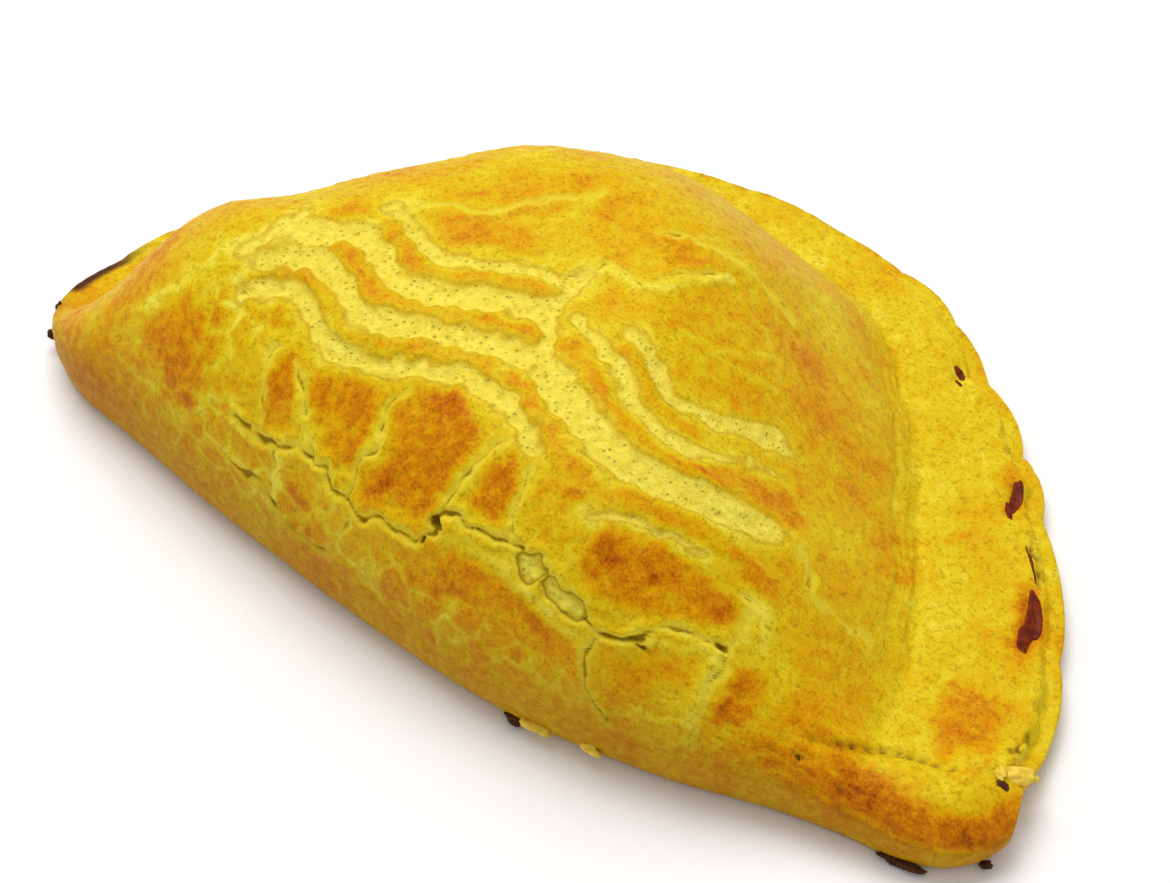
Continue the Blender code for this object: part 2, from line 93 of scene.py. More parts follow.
def smooth_curve(points: tuple[Pair, ...], closed: bool = False) -> Array:
    """Points along a Catmull-Rom curve.

    Args:
        points: the places that the curve runs through.
        closed: whether it returns to the first of them.

    Returns:
        The points, CURVE_STEPS for each stretch between two of the given ones.
    """
    given = np.array(points, float)
    count = len(given)
    pieces = []
    for index in range(count if closed else count - 1):
        near = np.arange(index - 1, index + 3)
        before, start, end, after = given[near % count if closed else near.clip(0, count - 1)]
        way = np.linspace(0, 1, CURVE_STEPS, endpoint=False)[:, None]
        line = 2 * start + (end - before) * way
        bend = (2 * before - 5 * start + 4 * end - after) * way**2
        twist = (3 * start - before - 3 * end + after) * way**3
        pieces.append(0.5 * (line + bend + twist))
    if not closed:
        pieces.append(given[-1:])
    return np.concatenate(pieces)


def distance_to(places: Array, route: Array, reach: float = FAR) -> Array:
    """Distance of each place from a line of straight pieces.

    Args:
        places: the places.
        route: the points along the line.
        reach: how far it is measured; what lies farther off gets this distance.

    Returns:
        The distances.
    """
    near = ((places > route.min(axis=0) - reach) & (places < route.max(axis=0) + reach)).all(axis=1)
    close = places[near]
    found = np.full(len(close), reach**2)
    for origin, step in zip(route[:-1], np.diff(route, axis=0)):
        off = close - origin
        way = np.clip(off @ step / (step @ step), 0, 1)
        found = np.minimum(found, ((off - way[:, None] * step) ** 2).sum(axis=1))
    best = np.full(len(places), float(reach))
    best[near] = np.sqrt(found)
    return best


def within(places: Array, border: Array) -> Array:
    """Whether each place lies inside a closed line of straight pieces.

    Args:
        places: the places.
        border: the points along the line, the last on the first.

    Returns:
        True for each place inside.
    """
    inside = np.zeros(len(places), bool)
    for start, end in zip(border[:-1], border[1:]):
        if start[1] != end[1]:
            crossing = start[0] + (places[:, 1] - start[1]) * (end[0] - start[0]) / (end[1] - start[1])
            level = (start[1] > places[:, 1]) != (end[1] > places[:, 1])
            inside ^= level & (places[:, 0] < crossing)
    return inside


@dataclass(frozen=True)
class WaveField:
    """A soft random field: seeded waves through space, with lengths between two limits."""

    seed: int
    shortest: float
    longest: float
    waves: int = 40

    def at(self, points: Array) -> Array:
        """The field's value at each point, with a spread of about 1 round 0.

        Args:
            points: the points, in mm.

        Returns:
            The values.
        """
        draw = np.random.default_rng(self.seed)
        total = np.zeros(len(points))
        for _ in range(self.waves):
            direction = draw.normal(size=3)
            direction /= np.linalg.norm(direction)
            length = draw.uniform(self.shortest, self.longest)
            total += np.sin(points @ direction * 2 * math.pi / length + draw.uniform(0, 2 * math.pi))
        return total / math.sqrt(self.waves / 2)


@dataclass(frozen=True)
class Stroke:
    """A mark drawn on the crust, with a strength that is its depth in mm or its share of colour."""

    half_width: float
    strength: float
    points: tuple[Pair, ...]
    curved: bool = True

    def off(self, marks: Array) -> Array:
        """Distance of each mark place from the edge of the stroke, negative inside it."""
        route = smooth_curve(self.points) if self.curved else np.array(self.points, float)
        return distance_to(marks, route, REACH) - self.half_width


@dataclass(frozen=True)
class Spot:
    """A soft oval spot on the crust, turned by some degrees."""

    x: float
    g: float
    half_length: float
    half_width: float
    turn: float
    strength: float
    steepness: float = 1.5

    def at(self, marks: Array) -> Array:
        """The spot's strength at each mark place.

        Args:
            marks: the places, as (x, g).

        Returns:
            The strengths.
        """
        turn = math.radians(self.turn)
        along = (marks[:, 0] - self.x) * math.cos(turn) + (marks[:, 1] - self.g) * math.sin(turn)
        across = (marks[:, 1] - self.g) * math.cos(turn) - (marks[:, 0] - self.x) * math.sin(turn)
        away = (along / self.half_length) ** 2 + (across / self.half_width) ** 2
        return self.strength * np.exp(-(away**self.steepness))


@dataclass(frozen=True)
class Plate:
    """A baked plate of crust: how brown it is, how wide its paler border is, and the points round it."""

    brown: float
    soft: float
    border: tuple[Pair, ...]
    soft_inside: float = 0.6  # how much of the soft border lies inside the points
    soft_outside: float = 0.3  # how far it reaches beyond them, in mm

    def shown(self, marks: Array) -> Array:
        """How fully each place lies on the plate.

        Args:
            marks: the places, as (x, g).

        Returns:
            0 off the plate to 1 well on it.
        """
        route = smooth_curve(self.border, closed=True)
        route = np.vstack([route, route[:1]])
        away = distance_to(marks, route, REACH)
        away = np.where(within(marks, route), -away, away)
        return 1 - ease(away, -self.soft_inside * self.soft, self.soft_outside)


@dataclass(frozen=True)
class Outline:
    """The half-moon seen from above, with one scallop for each press of the baker's fingers."""

    pressed_edge: tuple[Pair, ...] = (
        (-74.5, -26.5), (-73, -16), (-68.8, -5.5), (-53.1, 17.7), (-41.3, 32), (-27.5, 40.4), (-10, 45.4),
        (10, 44.7), (24, 41.7), (36.5, 33.8), (48.3, 24.3), (59.9, 10.3), (68.8, -3), (73.5, -17), (76, -28),
    )
    fold_edge: tuple[Pair, ...] = (
        (73, -34.3), (67.5, -37.2), (60, -38.4), (52, -40.2), (45, -42.5), (38, -44.7), (22, -47.8),
        (4, -48.5), (-15, -47.2), (-35, -44.6), (-52, -41.6), (-64, -39.6), (-71.8, -34),
    )
    disc_middle: Pair = (0.0, -30.0)
    press_ends: tuple[float, ...] = (
        -14, 6.5, 22.5, 40.6, 50, 60.5, 69, 78, 87, 98.5, 110.5, 119, 127, 138, 149, 160, 171, 190,
    )
    scallop: float = 1.2
    scallop_round: float = 0.7
    scallop_level: float = 0.7
    soft_presses: Pair = (50, 85)  # degrees between which the presses grow softer, towards the left
    softest_press: float = 0.35

    def angle(self, places: Array) -> Array:
        """Degrees about the middle of the folded disc, from 0 at the right tip to 180 at the left one."""
        angle = np.degrees(np.arctan2(places[:, 1] - self.disc_middle[1], places[:, 0] - self.disc_middle[0]))
        return np.where(angle < -90, angle + 360, angle)

    def phase(self, places: Array) -> Array:
        """How far along its finger press each place lies.

        Args:
            places: the places, seen from above.

        Returns:
            0 to 1 from one end of a press to the next.
        """
        ends = np.array(self.press_ends, float)
        angle = np.clip(self.angle(places), ends[0], ends[-1])
        index = np.minimum(np.searchsorted(ends, angle, side="right"), len(ends) - 1) - 1
        return (angle - ends[index]) / (ends[index + 1] - ends[index])

    def strength(self, places: Array) -> Array:
        """How hard the edge was pressed, as a share of the hardest presses."""
        return 1 - (1 - self.softest_press) * ease(self.angle(places), *self.soft_presses)

    def smooth_edge(self) -> Array:
        """The pressed edge without its scallops."""
        return smooth_curve(self.pressed_edge)

    def routes(self) -> tuple[Array, Array]:
        """The two sides of the half-moon.

        Returns:
            The pressed edge and the fold edge, which share their end points at the two tips.
        """
        edge = self.smooth_edge()
        arm = edge - self.disc_middle
        rounds = np.sin(math.pi * self.phase(edge)) ** self.scallop_round
        swell = self.scallop * self.strength(edge) * (rounds - self.scallop_level)
        pressed = self.disc_middle + arm * (1 + swell / np.hypot(*arm.T))[:, None]
        loop = smooth_curve(self.pressed_edge + self.fold_edge, closed=True)
        fold = loop[(len(self.pressed_edge) - 1) * CURVE_STEPS :]
        fold[0] = pressed[-1]
        return pressed, np.vstack([fold, pressed[:1]])

    def on_edge(self, angle: Array, to_rim: Array) -> Array:
        """Finds places on the pressed edge.

        Args:
            angle: degrees about the middle of the folded disc.
            to_rim: distances from the rim.

        Returns:
            The places, seen from above.
        """
        pressed = self.routes()[0]
        turn = self.angle(pressed)
        order = np.argsort(turn)
        rim = np.column_stack([np.interp(angle, turn[order], pressed[order, axis]) for axis in (0, 1)])
        inward = np.array(self.disc_middle) - rim
        return rim + inward * (to_rim / np.hypot(*inward.T))[:, None]


@dataclass
class Spots:
    """Places on the crust with all that the marks and the baking are worked out from."""

    places: Array
    outline: Outline
    form: "CrustForm"

    def __post_init__(self) -> None:
        """Measures the places against the outline."""
        pressed, fold = self.outline.routes()
        self.to_rim = distance_to(self.places, pressed)
        self.to_edge = distance_to(self.places, self.outline.smooth_edge())
        self.to_fold = distance_to(self.places, fold)
        self.angle = self.outline.angle(self.places)
        self.phase = self.outline.phase(self.places)
        self.strength = self.outline.strength(self.places)
        self.width = self.form.width_of(self.form.flange, self.angle)
        self.height = self.form.height(self)
        self.points = np.column_stack([self.places, self.height])
        self.marks = np.column_stack([self.places[:, 0], self.form.round_the_crust(self.to_fold)])
        self.raised = ease(self.to_rim - self.width, *self.form.raised_from)


@dataclass(frozen=True)
class CrustForm:
    """The crust's form without its marks, as in the solid."""

    half_length: float = 75.0
    top_height: float = 34.0
    belly_height: float = 6.5
    edge_height: float = 4.5
    edge_to_belly: float = 20.0
    fold_rise: float = 25.0
    fold_roundness: float = 2.1
    fold_girth: float = 26.0
    # Width of the pressed edge, and of the slope from there to the top, at several degrees about the disc's middle.
    flange: tuple[Pair, ...] = ((20, 18.2), (105, 6.8), (156, 6.8), (176, 4.0))
    far_slope: tuple[Pair, ...] = ((45, 45.0), (110, 31.0))
    foot_ease: float = 0.035
    raised_from: Pair = (-1, 3)  # the marks on top fade in over this stretch beyond the pressed edge
    lobe_height: float = 3.5
    lobe_place: float = 66.0
    lobe_length: float = 14.0
    lobe_width: float = 13.0
    belly_tuck: float = 2.6
    edge_tuck: float = 0.7

    @staticmethod
    def width_of(part: tuple[Pair, ...], angle: Array) -> Array:
        """A width that is given at several directions, eased from each to the next.

        Args:
            part: the given directions and widths.
            angle: the directions asked for.

        Returns:
            The widths.
        """
        width = np.full(len(angle), float(part[0][1]))
        for (start, here), (end, there) in zip(part, part[1:]):
            width += (there - here) * ease(angle, start, end)
        return width

    def round_the_crust(self, to_fold: Array) -> Array:
        """Distance over the crust from the widest line of the fold.

        Args:
            to_fold: the distance from the fold's edge, seen from above.

        Returns:
            The distance over the crust.
        """
        over = self.fold_girth * np.arccos(np.clip(1 - to_fold / self.fold_rise, -1, 1))
        beyond = self.fold_girth * math.pi / 2 + to_fold - self.fold_rise
        return np.where(to_fold < self.fold_rise, over, beyond)

    def height(self, spots: Spots) -> Array:
        """Height of the plain crust.

        Args:
            spots: the places.

        Returns:
            The heights above the resting plane, without any mark.
        """
        near = np.clip(spots.to_fold / self.fold_rise, 0, 1)
        over_fold = np.sqrt(1 - (1 - near) ** self.fold_roundness)
        far = np.clip((spots.to_edge - spots.width) / self.width_of(self.far_slope, spots.angle), 0, 1)
        over_rim = np.sin(math.pi / 2 * far * far * (1 + self.foot_ease) / (far + self.foot_ease))
        belly = np.clip(spots.to_edge / self.edge_to_belly, 0, 1)
        base = self.edge_height + (self.belly_height - self.edge_height) * belly
        roll = np.sin(math.pi * np.clip(spots.to_fold / self.lobe_width, 0, 1))
        roll *= bump(spots.places[:, 0] - self.lobe_place, self.lobe_length)
        rise = (self.top_height - self.belly_height) * over_fold * over_rim
        return base + rise + self.lobe_height * roll


@dataclass(frozen=True)
class CombScores:
    """The bare bands that a comb drew over the crust, and the glazed strips that it left between them."""

    wall: Pair = (-0.9, 0.45)
    shallow: float = 0.75  # how deep the bands are, as a share of their strokes' strength
    wander: float = 0.22
    floor_from: Pair = (-0.5, 0.2)  # distances from a band's edge between which its floor gives way to the crust
    floor_grit: float = 0.09
    pit_depth: float = 0.22
    strip_height: float = 0.22
    strip_cut: Pair = (-0.3, 0.3)
    strip_reach: float = 0.7  # how far a strip's browning fades out beyond its edge
    bands: tuple[Stroke, ...] = (
        Stroke(1.3, 0.6, ((-36, 26.5), (-34, 28.8), (-32.5, 30.2), (-30, 31), (-27.5, 30.8), (-25, 29.6),
                          (-23, 28.3), (-20.5, 28), (-17, 28.6), (-13, 30), (-10, 31.5), (-7, 33), (-4, 34.4),
                          (2.6, 34.7), (7.6, 32.7), (10, 31))),
        Stroke(1.8, 0.65, ((-36.5, 32), (-32, 35.4), (-29.5, 36.3), (-26.8, 36), (-24.5, 35.2), (-22.3, 34.3),
                           (-18.9, 34), (-16, 35), (-11, 37.3), (-5.2, 39.8), (0, 41.5), (3, 42), (6, 40.5))),
        Stroke(2.4, 0.65, ((5, 41.3), (10, 38.8), (14, 37), (17, 36), (20, 35.5), (25, 36), (29, 37.8),
                           (32, 39.2), (34.5, 40.2))),
        Stroke(1.9, 0.65, ((-37, 37.5), (-34.8, 38.6), (-31.6, 41), (-29.3, 42.4), (-26, 43), (-23.7, 42.1),
                           (-21.9, 41.1), (-19.3, 40.5), (-16.4, 41), (-12.7, 42.9), (-7.4, 46.7), (-4.9, 47.7),
                           (-2.5, 48.6))),
        Stroke(0.9, 0.5, ((-28.5, 48.8), (-24.9, 48.6), (-22.8, 47.9), (-19.9, 47), (-17.3, 47.2), (-14.7, 48.4),
                          (-12.6, 49.8), (-10.4, 51.2), (-8.2, 52.6), (-5.2, 53.8), (-3.6, 53.8))),
        Stroke(1.2, 0.55, ((-1.5, 57), (-1.5, 53.5), (-1.5, 50), (0.5, 47), (2.5, 44))),
        Stroke(1.0, 0.5, ((2.2, 50.5), (5.2, 49.6), (8, 48.3), (11, 46.9), (13, 45.7), (15, 44.3), (17, 43.5),
                          (19.4, 42.7), (21.4, 42.4), (23.6, 43.3))),
        Stroke(1.0, 0.5, ((9.2, 52.7), (11.4, 51.7), (13.3, 50.7), (15.2, 49.6), (16.5, 49.1), (18.3, 48.6),
                          (20, 49), (23, 50), (25, 51.5), (26.5, 52.5), (29.3, 54.3))),
        Stroke(1.2, 0.3, ((23.5, 51.5), (25.5, 53), (27.5, 55))),
        Stroke(0.4, 0.45, ((20, 27), (22, 28.5), (25, 29.8), (28, 30.3), (32, 31.2))),
        Stroke(0.6, 0.3, ((-40, 30.5), (-38.3, 34), (-37.3, 38.5), (-37.6, 43))),
        Stroke(0.5, 0.25, ((24.5, 44.2), (26.5, 45.5), (28, 47.8), (31, 49.8))),
    )
    strips: tuple[Stroke, ...] = (
        Stroke(0.6, 0.9, ((-34.5, 31), (-32, 32.5), (-29, 33.3), (-27, 33), (-25, 32.2), (-22, 31.2), (-19, 30.9),
                          (-17, 31.7), (-14, 32.7), (-10, 34.4), (-5, 36.5), (0, 37.6), (4, 37.4), (7, 35.8),
                          (9, 34.2), (11, 32.6), (14, 31.5), (18, 31))),
        Stroke(0.7, 1.0, ((-33.5, 38), (-32, 38.7), (-29, 39.9), (-27, 39.7), (-25, 38.5), (-23, 37.4), (-20, 36.9),
                          (-17, 37.6), (-14, 38.8), (-11, 40.3), (-8, 41.8), (-5, 43.3), (-2, 44.3), (-0.5, 44.9))),
        Stroke(0.7, 1.0, ((-26, 46), (-24, 46.2), (-22, 45.2), (-20, 44), (-17, 43.8), (-14, 45.4), (-11, 47.6),
                          (-8, 49.8), (-5, 51), (-2.8, 51.3))),
        Stroke(0.8, 1.0, ((4, 46), (7, 44.9), (10, 43.6), (13, 42), (16, 40.4), (19, 39.3), (22, 38.9), (25, 39.5),
                          (28, 40.6))),
        Stroke(0.6, 0.8, ((5, 47.7), (8, 46.3), (11, 49.4), (15, 46.9), (19, 45.7), (22, 45.9))),
        Stroke(0.6, 0.9, ((17, 28), (19, 29.3), (22, 31), (25, 32), (28, 32.8), (32, 33.8), (35, 34), (39, 33))),
    )

    def measure(self, marks: Array, noise: Array) -> tuple[Array, Array, Array]:
        """Works out what the comb did at each place.

        Args:
            marks: the places, as (x, g).
            noise: how far the edges wander, -1 to 1.

        Returns:
            The depth of the bands in mm, the distance from the nearest band's edge, and how fully a place
            lies on a strip.
        """
        depth = np.zeros(len(marks))
        nearest = np.full(len(marks), REACH)
        for band in self.bands:
            off = band.off(marks) + self.wander * noise
            depth = np.maximum(depth, self.shallow * band.strength * (1 - ease(off, *self.wall)))
            nearest = np.minimum(nearest, off)
        strip = np.zeros(len(marks))
        for ridge in self.strips:
            strip = np.maximum(strip, ridge.strength * bump(np.maximum(ridge.off(marks), 0), self.strip_reach))
        return depth, nearest, strip * ease(nearest, *self.strip_cut)


@dataclass(frozen=True)
class Cracks:
    """Cracks between the baked plates of crust, with plates that curl up beside them."""

    wall: Pair = (-0.3, 0.2)
    shallow: float = 0.38  # how deep the cracks are, as a share of their strokes' strength
    closed: float = 0.25  # how much thinner the faintest cracks' dark line is, in mm
    strongest: float = 1.2
    wander: float = 0.11
    lift: float = 0.4
    lift_place: float = 0.75
    lift_width: float = 0.6
    lift_from: Pair = (0, 0.4)
    pocket_wander: float = 0.22
    pocket_from: Pair = (-0.6, 0.2)
    pocket_grit: float = 0.198
    open_hole: float = 0.3  # a hole deeper than this is painted as dark as a crack, partly as painted shade
    hole_line: float = 0.6
    vein_width: float = 0.35
    vein_height: float = 0.12
    lines: tuple[Stroke, ...] = (
        Stroke(0.25, 0.9, ((-30, 13.3), (-27, 13), (-24, 13.7), (-21, 14.2), (-19, 15), (-17, 15.5), (-15.5, 15),
                           (-14, 15.2), (-13.5, 14.5), (-12.5, 13.3), (-11, 13), (-9.5, 13.2), (-7.5, 13),
                           (-5.5, 13.5), (-4, 14), (-1.5, 13.7), (0, 14.4), (1.2, 14), (2, 15), (3, 15.5),
                           (3.2, 16.7), (3.3, 17.8)), False),
        Stroke(0.3, 0.9, ((3.3, 17.8), (3.8, 19), (5, 19.3), (6.3, 18.8), (7, 18.5), (9, 19), (11, 19.5),
                          (13, 20), (14.4, 20.4)), False),
        Stroke(0.3, 0.9, ((24.5, 15.5), (26, 14.8), (28, 14.9), (29.5, 15.8), (31, 17), (32, 18.5)), False),
        Stroke(0.2, 0.45, ((32, 18.5), (33, 19.8), (35, 21), (37.5, 21.8), (39.3, 22.6)), False),
        Stroke(0.45, 1.2, ((30.3, 16.6), (31.6, 17.8)), False),
        Stroke(0.25, 0.7, ((26.6, 14), (26.3, 12), (26.3, 10), (26.6, 8.2), (27.2, 6.8), (28.1, 5.4),
                           (30.5, 3.2)), False),
        Stroke(0.2, 0.5, ((-10, 13.3), (-10, 15), (-9.8, 17), (-9.3, 20), (-8.5, 22), (-9.5, 24), (-9.4, 27),
                          (-9, 29)), False),
        Stroke(0.2, 0.5, ((-16.7, 15.5), (-18, 17.4), (-19, 18.5), (-21, 21), (-22.3, 22.8), (-24, 24)), False),
        Stroke(0.18, 0.5, ((-25.5, 13.8), (-26, 15.5), (-26.5, 17), (-27, 20), (-28, 24)), False),
        Stroke(0.25, 0.4, ((3.5, 18.5), (3.3, 20), (3.7, 22.5), (4.2, 25), (5.2, 28), (6.7, 30)), False),
        Stroke(0.2, 0.4, ((12.4, 20), (12.1, 22), (12, 24), (11.5, 27), (11, 29)), False),
        Stroke(0.25, 0.6, ((-31, 7.6), (-29.5, 7.3), (-28, 7.1), (-26.5, 7.5), (-25, 7.5), (-23, 7.2), (-22, 6.2),
                           (-21, 5.4), (-19, 4.7), (-17, 4), (-14, 4.3), (-11, 4.6)), False),
        Stroke(0.2, 0.45, ((-21.5, 14), (-22.2, 12.5), (-21.9, 11), (-22.4, 9.5), (-22, 7.3)), False),
        Stroke(0.18, 0.35, ((-8, 12.8), (-8.5, 11), (-9.7, 8.5), (-10.5, 7.2), (-11.3, 5.5)), False),
        Stroke(0.2, 0.35, ((40, 22.8), (40.5, 20), (40.3, 17), (40.5, 14), (40.6, 11), (41, 5)), False),
        Stroke(0.25, 0.45, ((39.5, 22.6), (40.3, 25), (40, 27.5), (39.4, 29.3), (38.3, 30.3)), False),
        Stroke(0.25, 0.5, ((38.5, 42), (40, 39.5), (41.5, 37.5), (43.5, 36.5), (46.5, 36.6), (49.5, 38)), False),
        Stroke(0.2, 0.5, ((-3.5, 54), (-2.5, 57), (-1.7, 58.7), (-0.5, 60), (2, 59.7), (4, 60.4), (5.8, 60.3),
                          (6.5, 62.5), (7.4, 64.2), (8.5, 66), (9.6, 68), (10, 69.5)), False),
        Stroke(0.15, 0.3, ((-26.6, 49.3), (-24.4, 52.9), (-20.8, 54.9), (-18.5, 56.3), (-16, 59.6), (-14.2, 62.7),
                           (-9.9, 66.9), (-9, 70)), False),
        Stroke(0.15, 0.3, ((1.8, 69.5), (5.9, 72.3), (9.5, 73.9), (13.7, 74.5), (18.3, 74.2)), False),
    )
    # Wide gaps where the crust tore open onto the paler crumb below.
    pockets: tuple[Stroke, ...] = (
        Stroke(1.55, 1.1, ((15.9, 18.9), (16.5, 18), (17.2, 17.6)), False),
        Stroke(1.35, 1.0, ((19.9, 16.9), (21, 16.5), (22.2, 16.3), (23.3, 16)), False),
    )
    holes: tuple[Spot, ...] = (
        Spot(3.3, 17.8, 0.65, 0.65, 0, 1.7), Spot(2.2, 14.3, 0.5, 0.5, 0, 0.8), Spot(39.4, 22.7, 0.6, 0.6, 0, 0.8),
        Spot(51.7, 12, 0.45, 0.7, 0, 0.9), Spot(49, 11.5, 0.4, 0.3, 0, 0.5), Spot(43.3, 8.5, 0.3, 0.3, 0, 0.4),
        Spot(10.5, 77, 0.5, 0.3, 0, 0.4), Spot(12.6, 70.1, 0.4, 0.4, 0, 0.4), Spot(32, 16.3, 0.6, 0.5, 0, 0.7),
    )
    # Pale ridges along borders that hardly opened.
    veins: tuple[Stroke, ...] = (
        Stroke(0.35, 0.8, ((-34.5, 13.5), (-33, 14), (-31, 15), (-29.5, 14.3))),
        Stroke(0.4, 0.7, ((-21.2, 7), (-20.9, 9), (-21.2, 11), (-20.9, 12.8))),
        Stroke(0.3, 0.6, ((-45.6, 23.2), (-43.7, 27.3), (-40.9, 32.3))),
        Stroke(0.4, 0.7, ((-50.6, 17.7), (-48, 20.5), (-45.6, 23.2))),
        Stroke(0.3, 0.7, ((38.5, 30.3), (40, 29.6), (41.5, 28), (42.3, 25.5))),
        Stroke(0.35, 0.6, ((5, 16.6), (10, 16.7), (14, 16.4), (16, 15.2), (19, 14.4), (21, 13.5), (24, 13.2),
                           (26, 12.4))),
        Stroke(0.35, 0.8, ((0, 59), (4, 59.4), (6.3, 60), (7.7, 62), (9.2, 64.5), (10.3, 68), (11.3, 70.3))),
        Stroke(0.3, 0.5, ((17, 58.5), (19, 62), (20, 65.5), (18, 68))),
        Stroke(0.3, 0.5, ((12, 56), (15, 58.5), (20, 59), (24, 61.5))),
        Stroke(0.4, 0.6, ((40, 5), (39.8, 10), (39.8, 16), (39.4, 21.5))),
        Stroke(0.3, 0.6, ((7, 3), (7.3, 6), (9, 9.5))),
        Stroke(0.35, 0.5, ((30, 4.5), (34, 7), (38, 8), (40, 10.5))),
        Stroke(0.35, 0.5, ((32.5, 17.5), (35, 18.5), (37.5, 20.3), (39.7, 20))),
    )

    def measure(self, marks: Array, noise: Array) -> tuple[Array, Array, Array, Array, Array]:
        """Works out the cracks at each place.

        Args:
            marks: the places, as (x, g).
            noise: how far the edges wander, -1 to 1.

        Returns:
            Depth in mm, lift of the plates in mm, distance from the nearest crack's edge, distance from the
            nearest pocket's edge, and how fully a place lies on a pale ridge.
        """
        depth = np.zeros(len(marks))
        lift = np.zeros(len(marks))
        nearest = np.full(len(marks), REACH)
        for line in self.lines:
            off = line.off(marks) + self.wander * noise
            depth = np.maximum(depth, self.shallow * line.strength * (1 - ease(off, *self.wall)))
            beside = bump(off - self.lift_place, self.lift_width)
            lift = np.maximum(lift, self.lift * min(line.strength, 1) * beside)
            nearest = np.minimum(nearest, off + self.closed * max(self.strongest - line.strength, 0))
        pocket = np.full(len(marks), REACH)
        for gap in self.pockets:
            off = gap.off(marks) + self.pocket_wander * noise
            depth = np.maximum(depth, self.shallow * gap.strength * (1 - ease(off, *self.wall)))
            lift = np.maximum(lift, self.lift * bump(off - self.lift_place, self.lift_width))
            pocket = np.minimum(pocket, off)
        for hole in self.holes:
            deep = hole.at(marks)
            depth = np.maximum(depth, deep)
            nearest = np.where(deep > self.open_hole, np.minimum(nearest, -self.hole_line * deep), nearest)
        vein = np.zeros(len(marks))
        for ridge in self.veins:
            vein = np.maximum(vein, ridge.strength * bump(np.maximum(ridge.off(marks), 0), self.vein_width))
        return depth, lift * ease(np.minimum(nearest, pocket), *self.lift_from), nearest, pocket, vein


@dataclass(frozen=True)
class Crazing:
    """The net of hair cracks in the glaze, low on the fold and at the left end of the comb's bands."""

    seed: int = 61
    spacing: float = 4.6
    row_spacing: float = 0.8  # distance from row to row, as a share of the spacing
    scatter: float = 0.42  # how far each cell's middle strays from an even lattice, as a share of the spacing
    x_range: Pair = (-60, 66)
    g_range: Pair = (0, 46)
    line: float = 0.3
    depth: float = 0.13
    # Where the net shows: middle (x, g), half length, half width, turn in degrees, strength.
    zones: tuple[Spot, ...] = (
        Spot(-30, 8, 22, 6, 0, 0.9), Spot(-37, 27, 6, 10, 0, 0.9), Spot(5, 6, 28, 5, 0, 0.7),
        Spot(45, 12, 22, 10, 0, 0.35), Spot(-20, 18, 12, 6, 0, 0.3), Spot(20, 23, 16, 6, 0, 0.25),
    )

    def shown(self, marks: Array) -> Array:
        """How fully each place lies on a hair crack.

        Args:
            marks: the places, as (x, g).

        Returns:
            0 off the net to 1 on a line of it.
        """
        draw = np.random.default_rng(self.seed)
        columns = np.arange(*self.x_range, self.spacing)
        rows = np.arange(*self.g_range, self.spacing * self.row_spacing)
        lattice = np.stack(np.meshgrid(columns, rows), axis=-1).reshape(-1, 2)
        cells = lattice + draw.uniform(-1, 1, lattice.shape) * self.scatter * self.spacing
        near = np.flatnonzero(marks[:, 1] < self.g_range[1] + self.spacing)
        first = np.full(len(near), FAR)
        second = np.full(len(near), FAR)
        for cell in cells:
            away = np.hypot(*(marks[near] - cell).T)
            second = np.minimum(second, np.maximum(first, away))
            first = np.minimum(first, away)
        zone = np.zeros(len(near))
        for patch in self.zones:
            zone = np.maximum(zone, patch.at(marks[near]))
        shown = np.zeros(len(marks))
        shown[near] = bump((second - first) / 2, self.line) * zone
        return shown


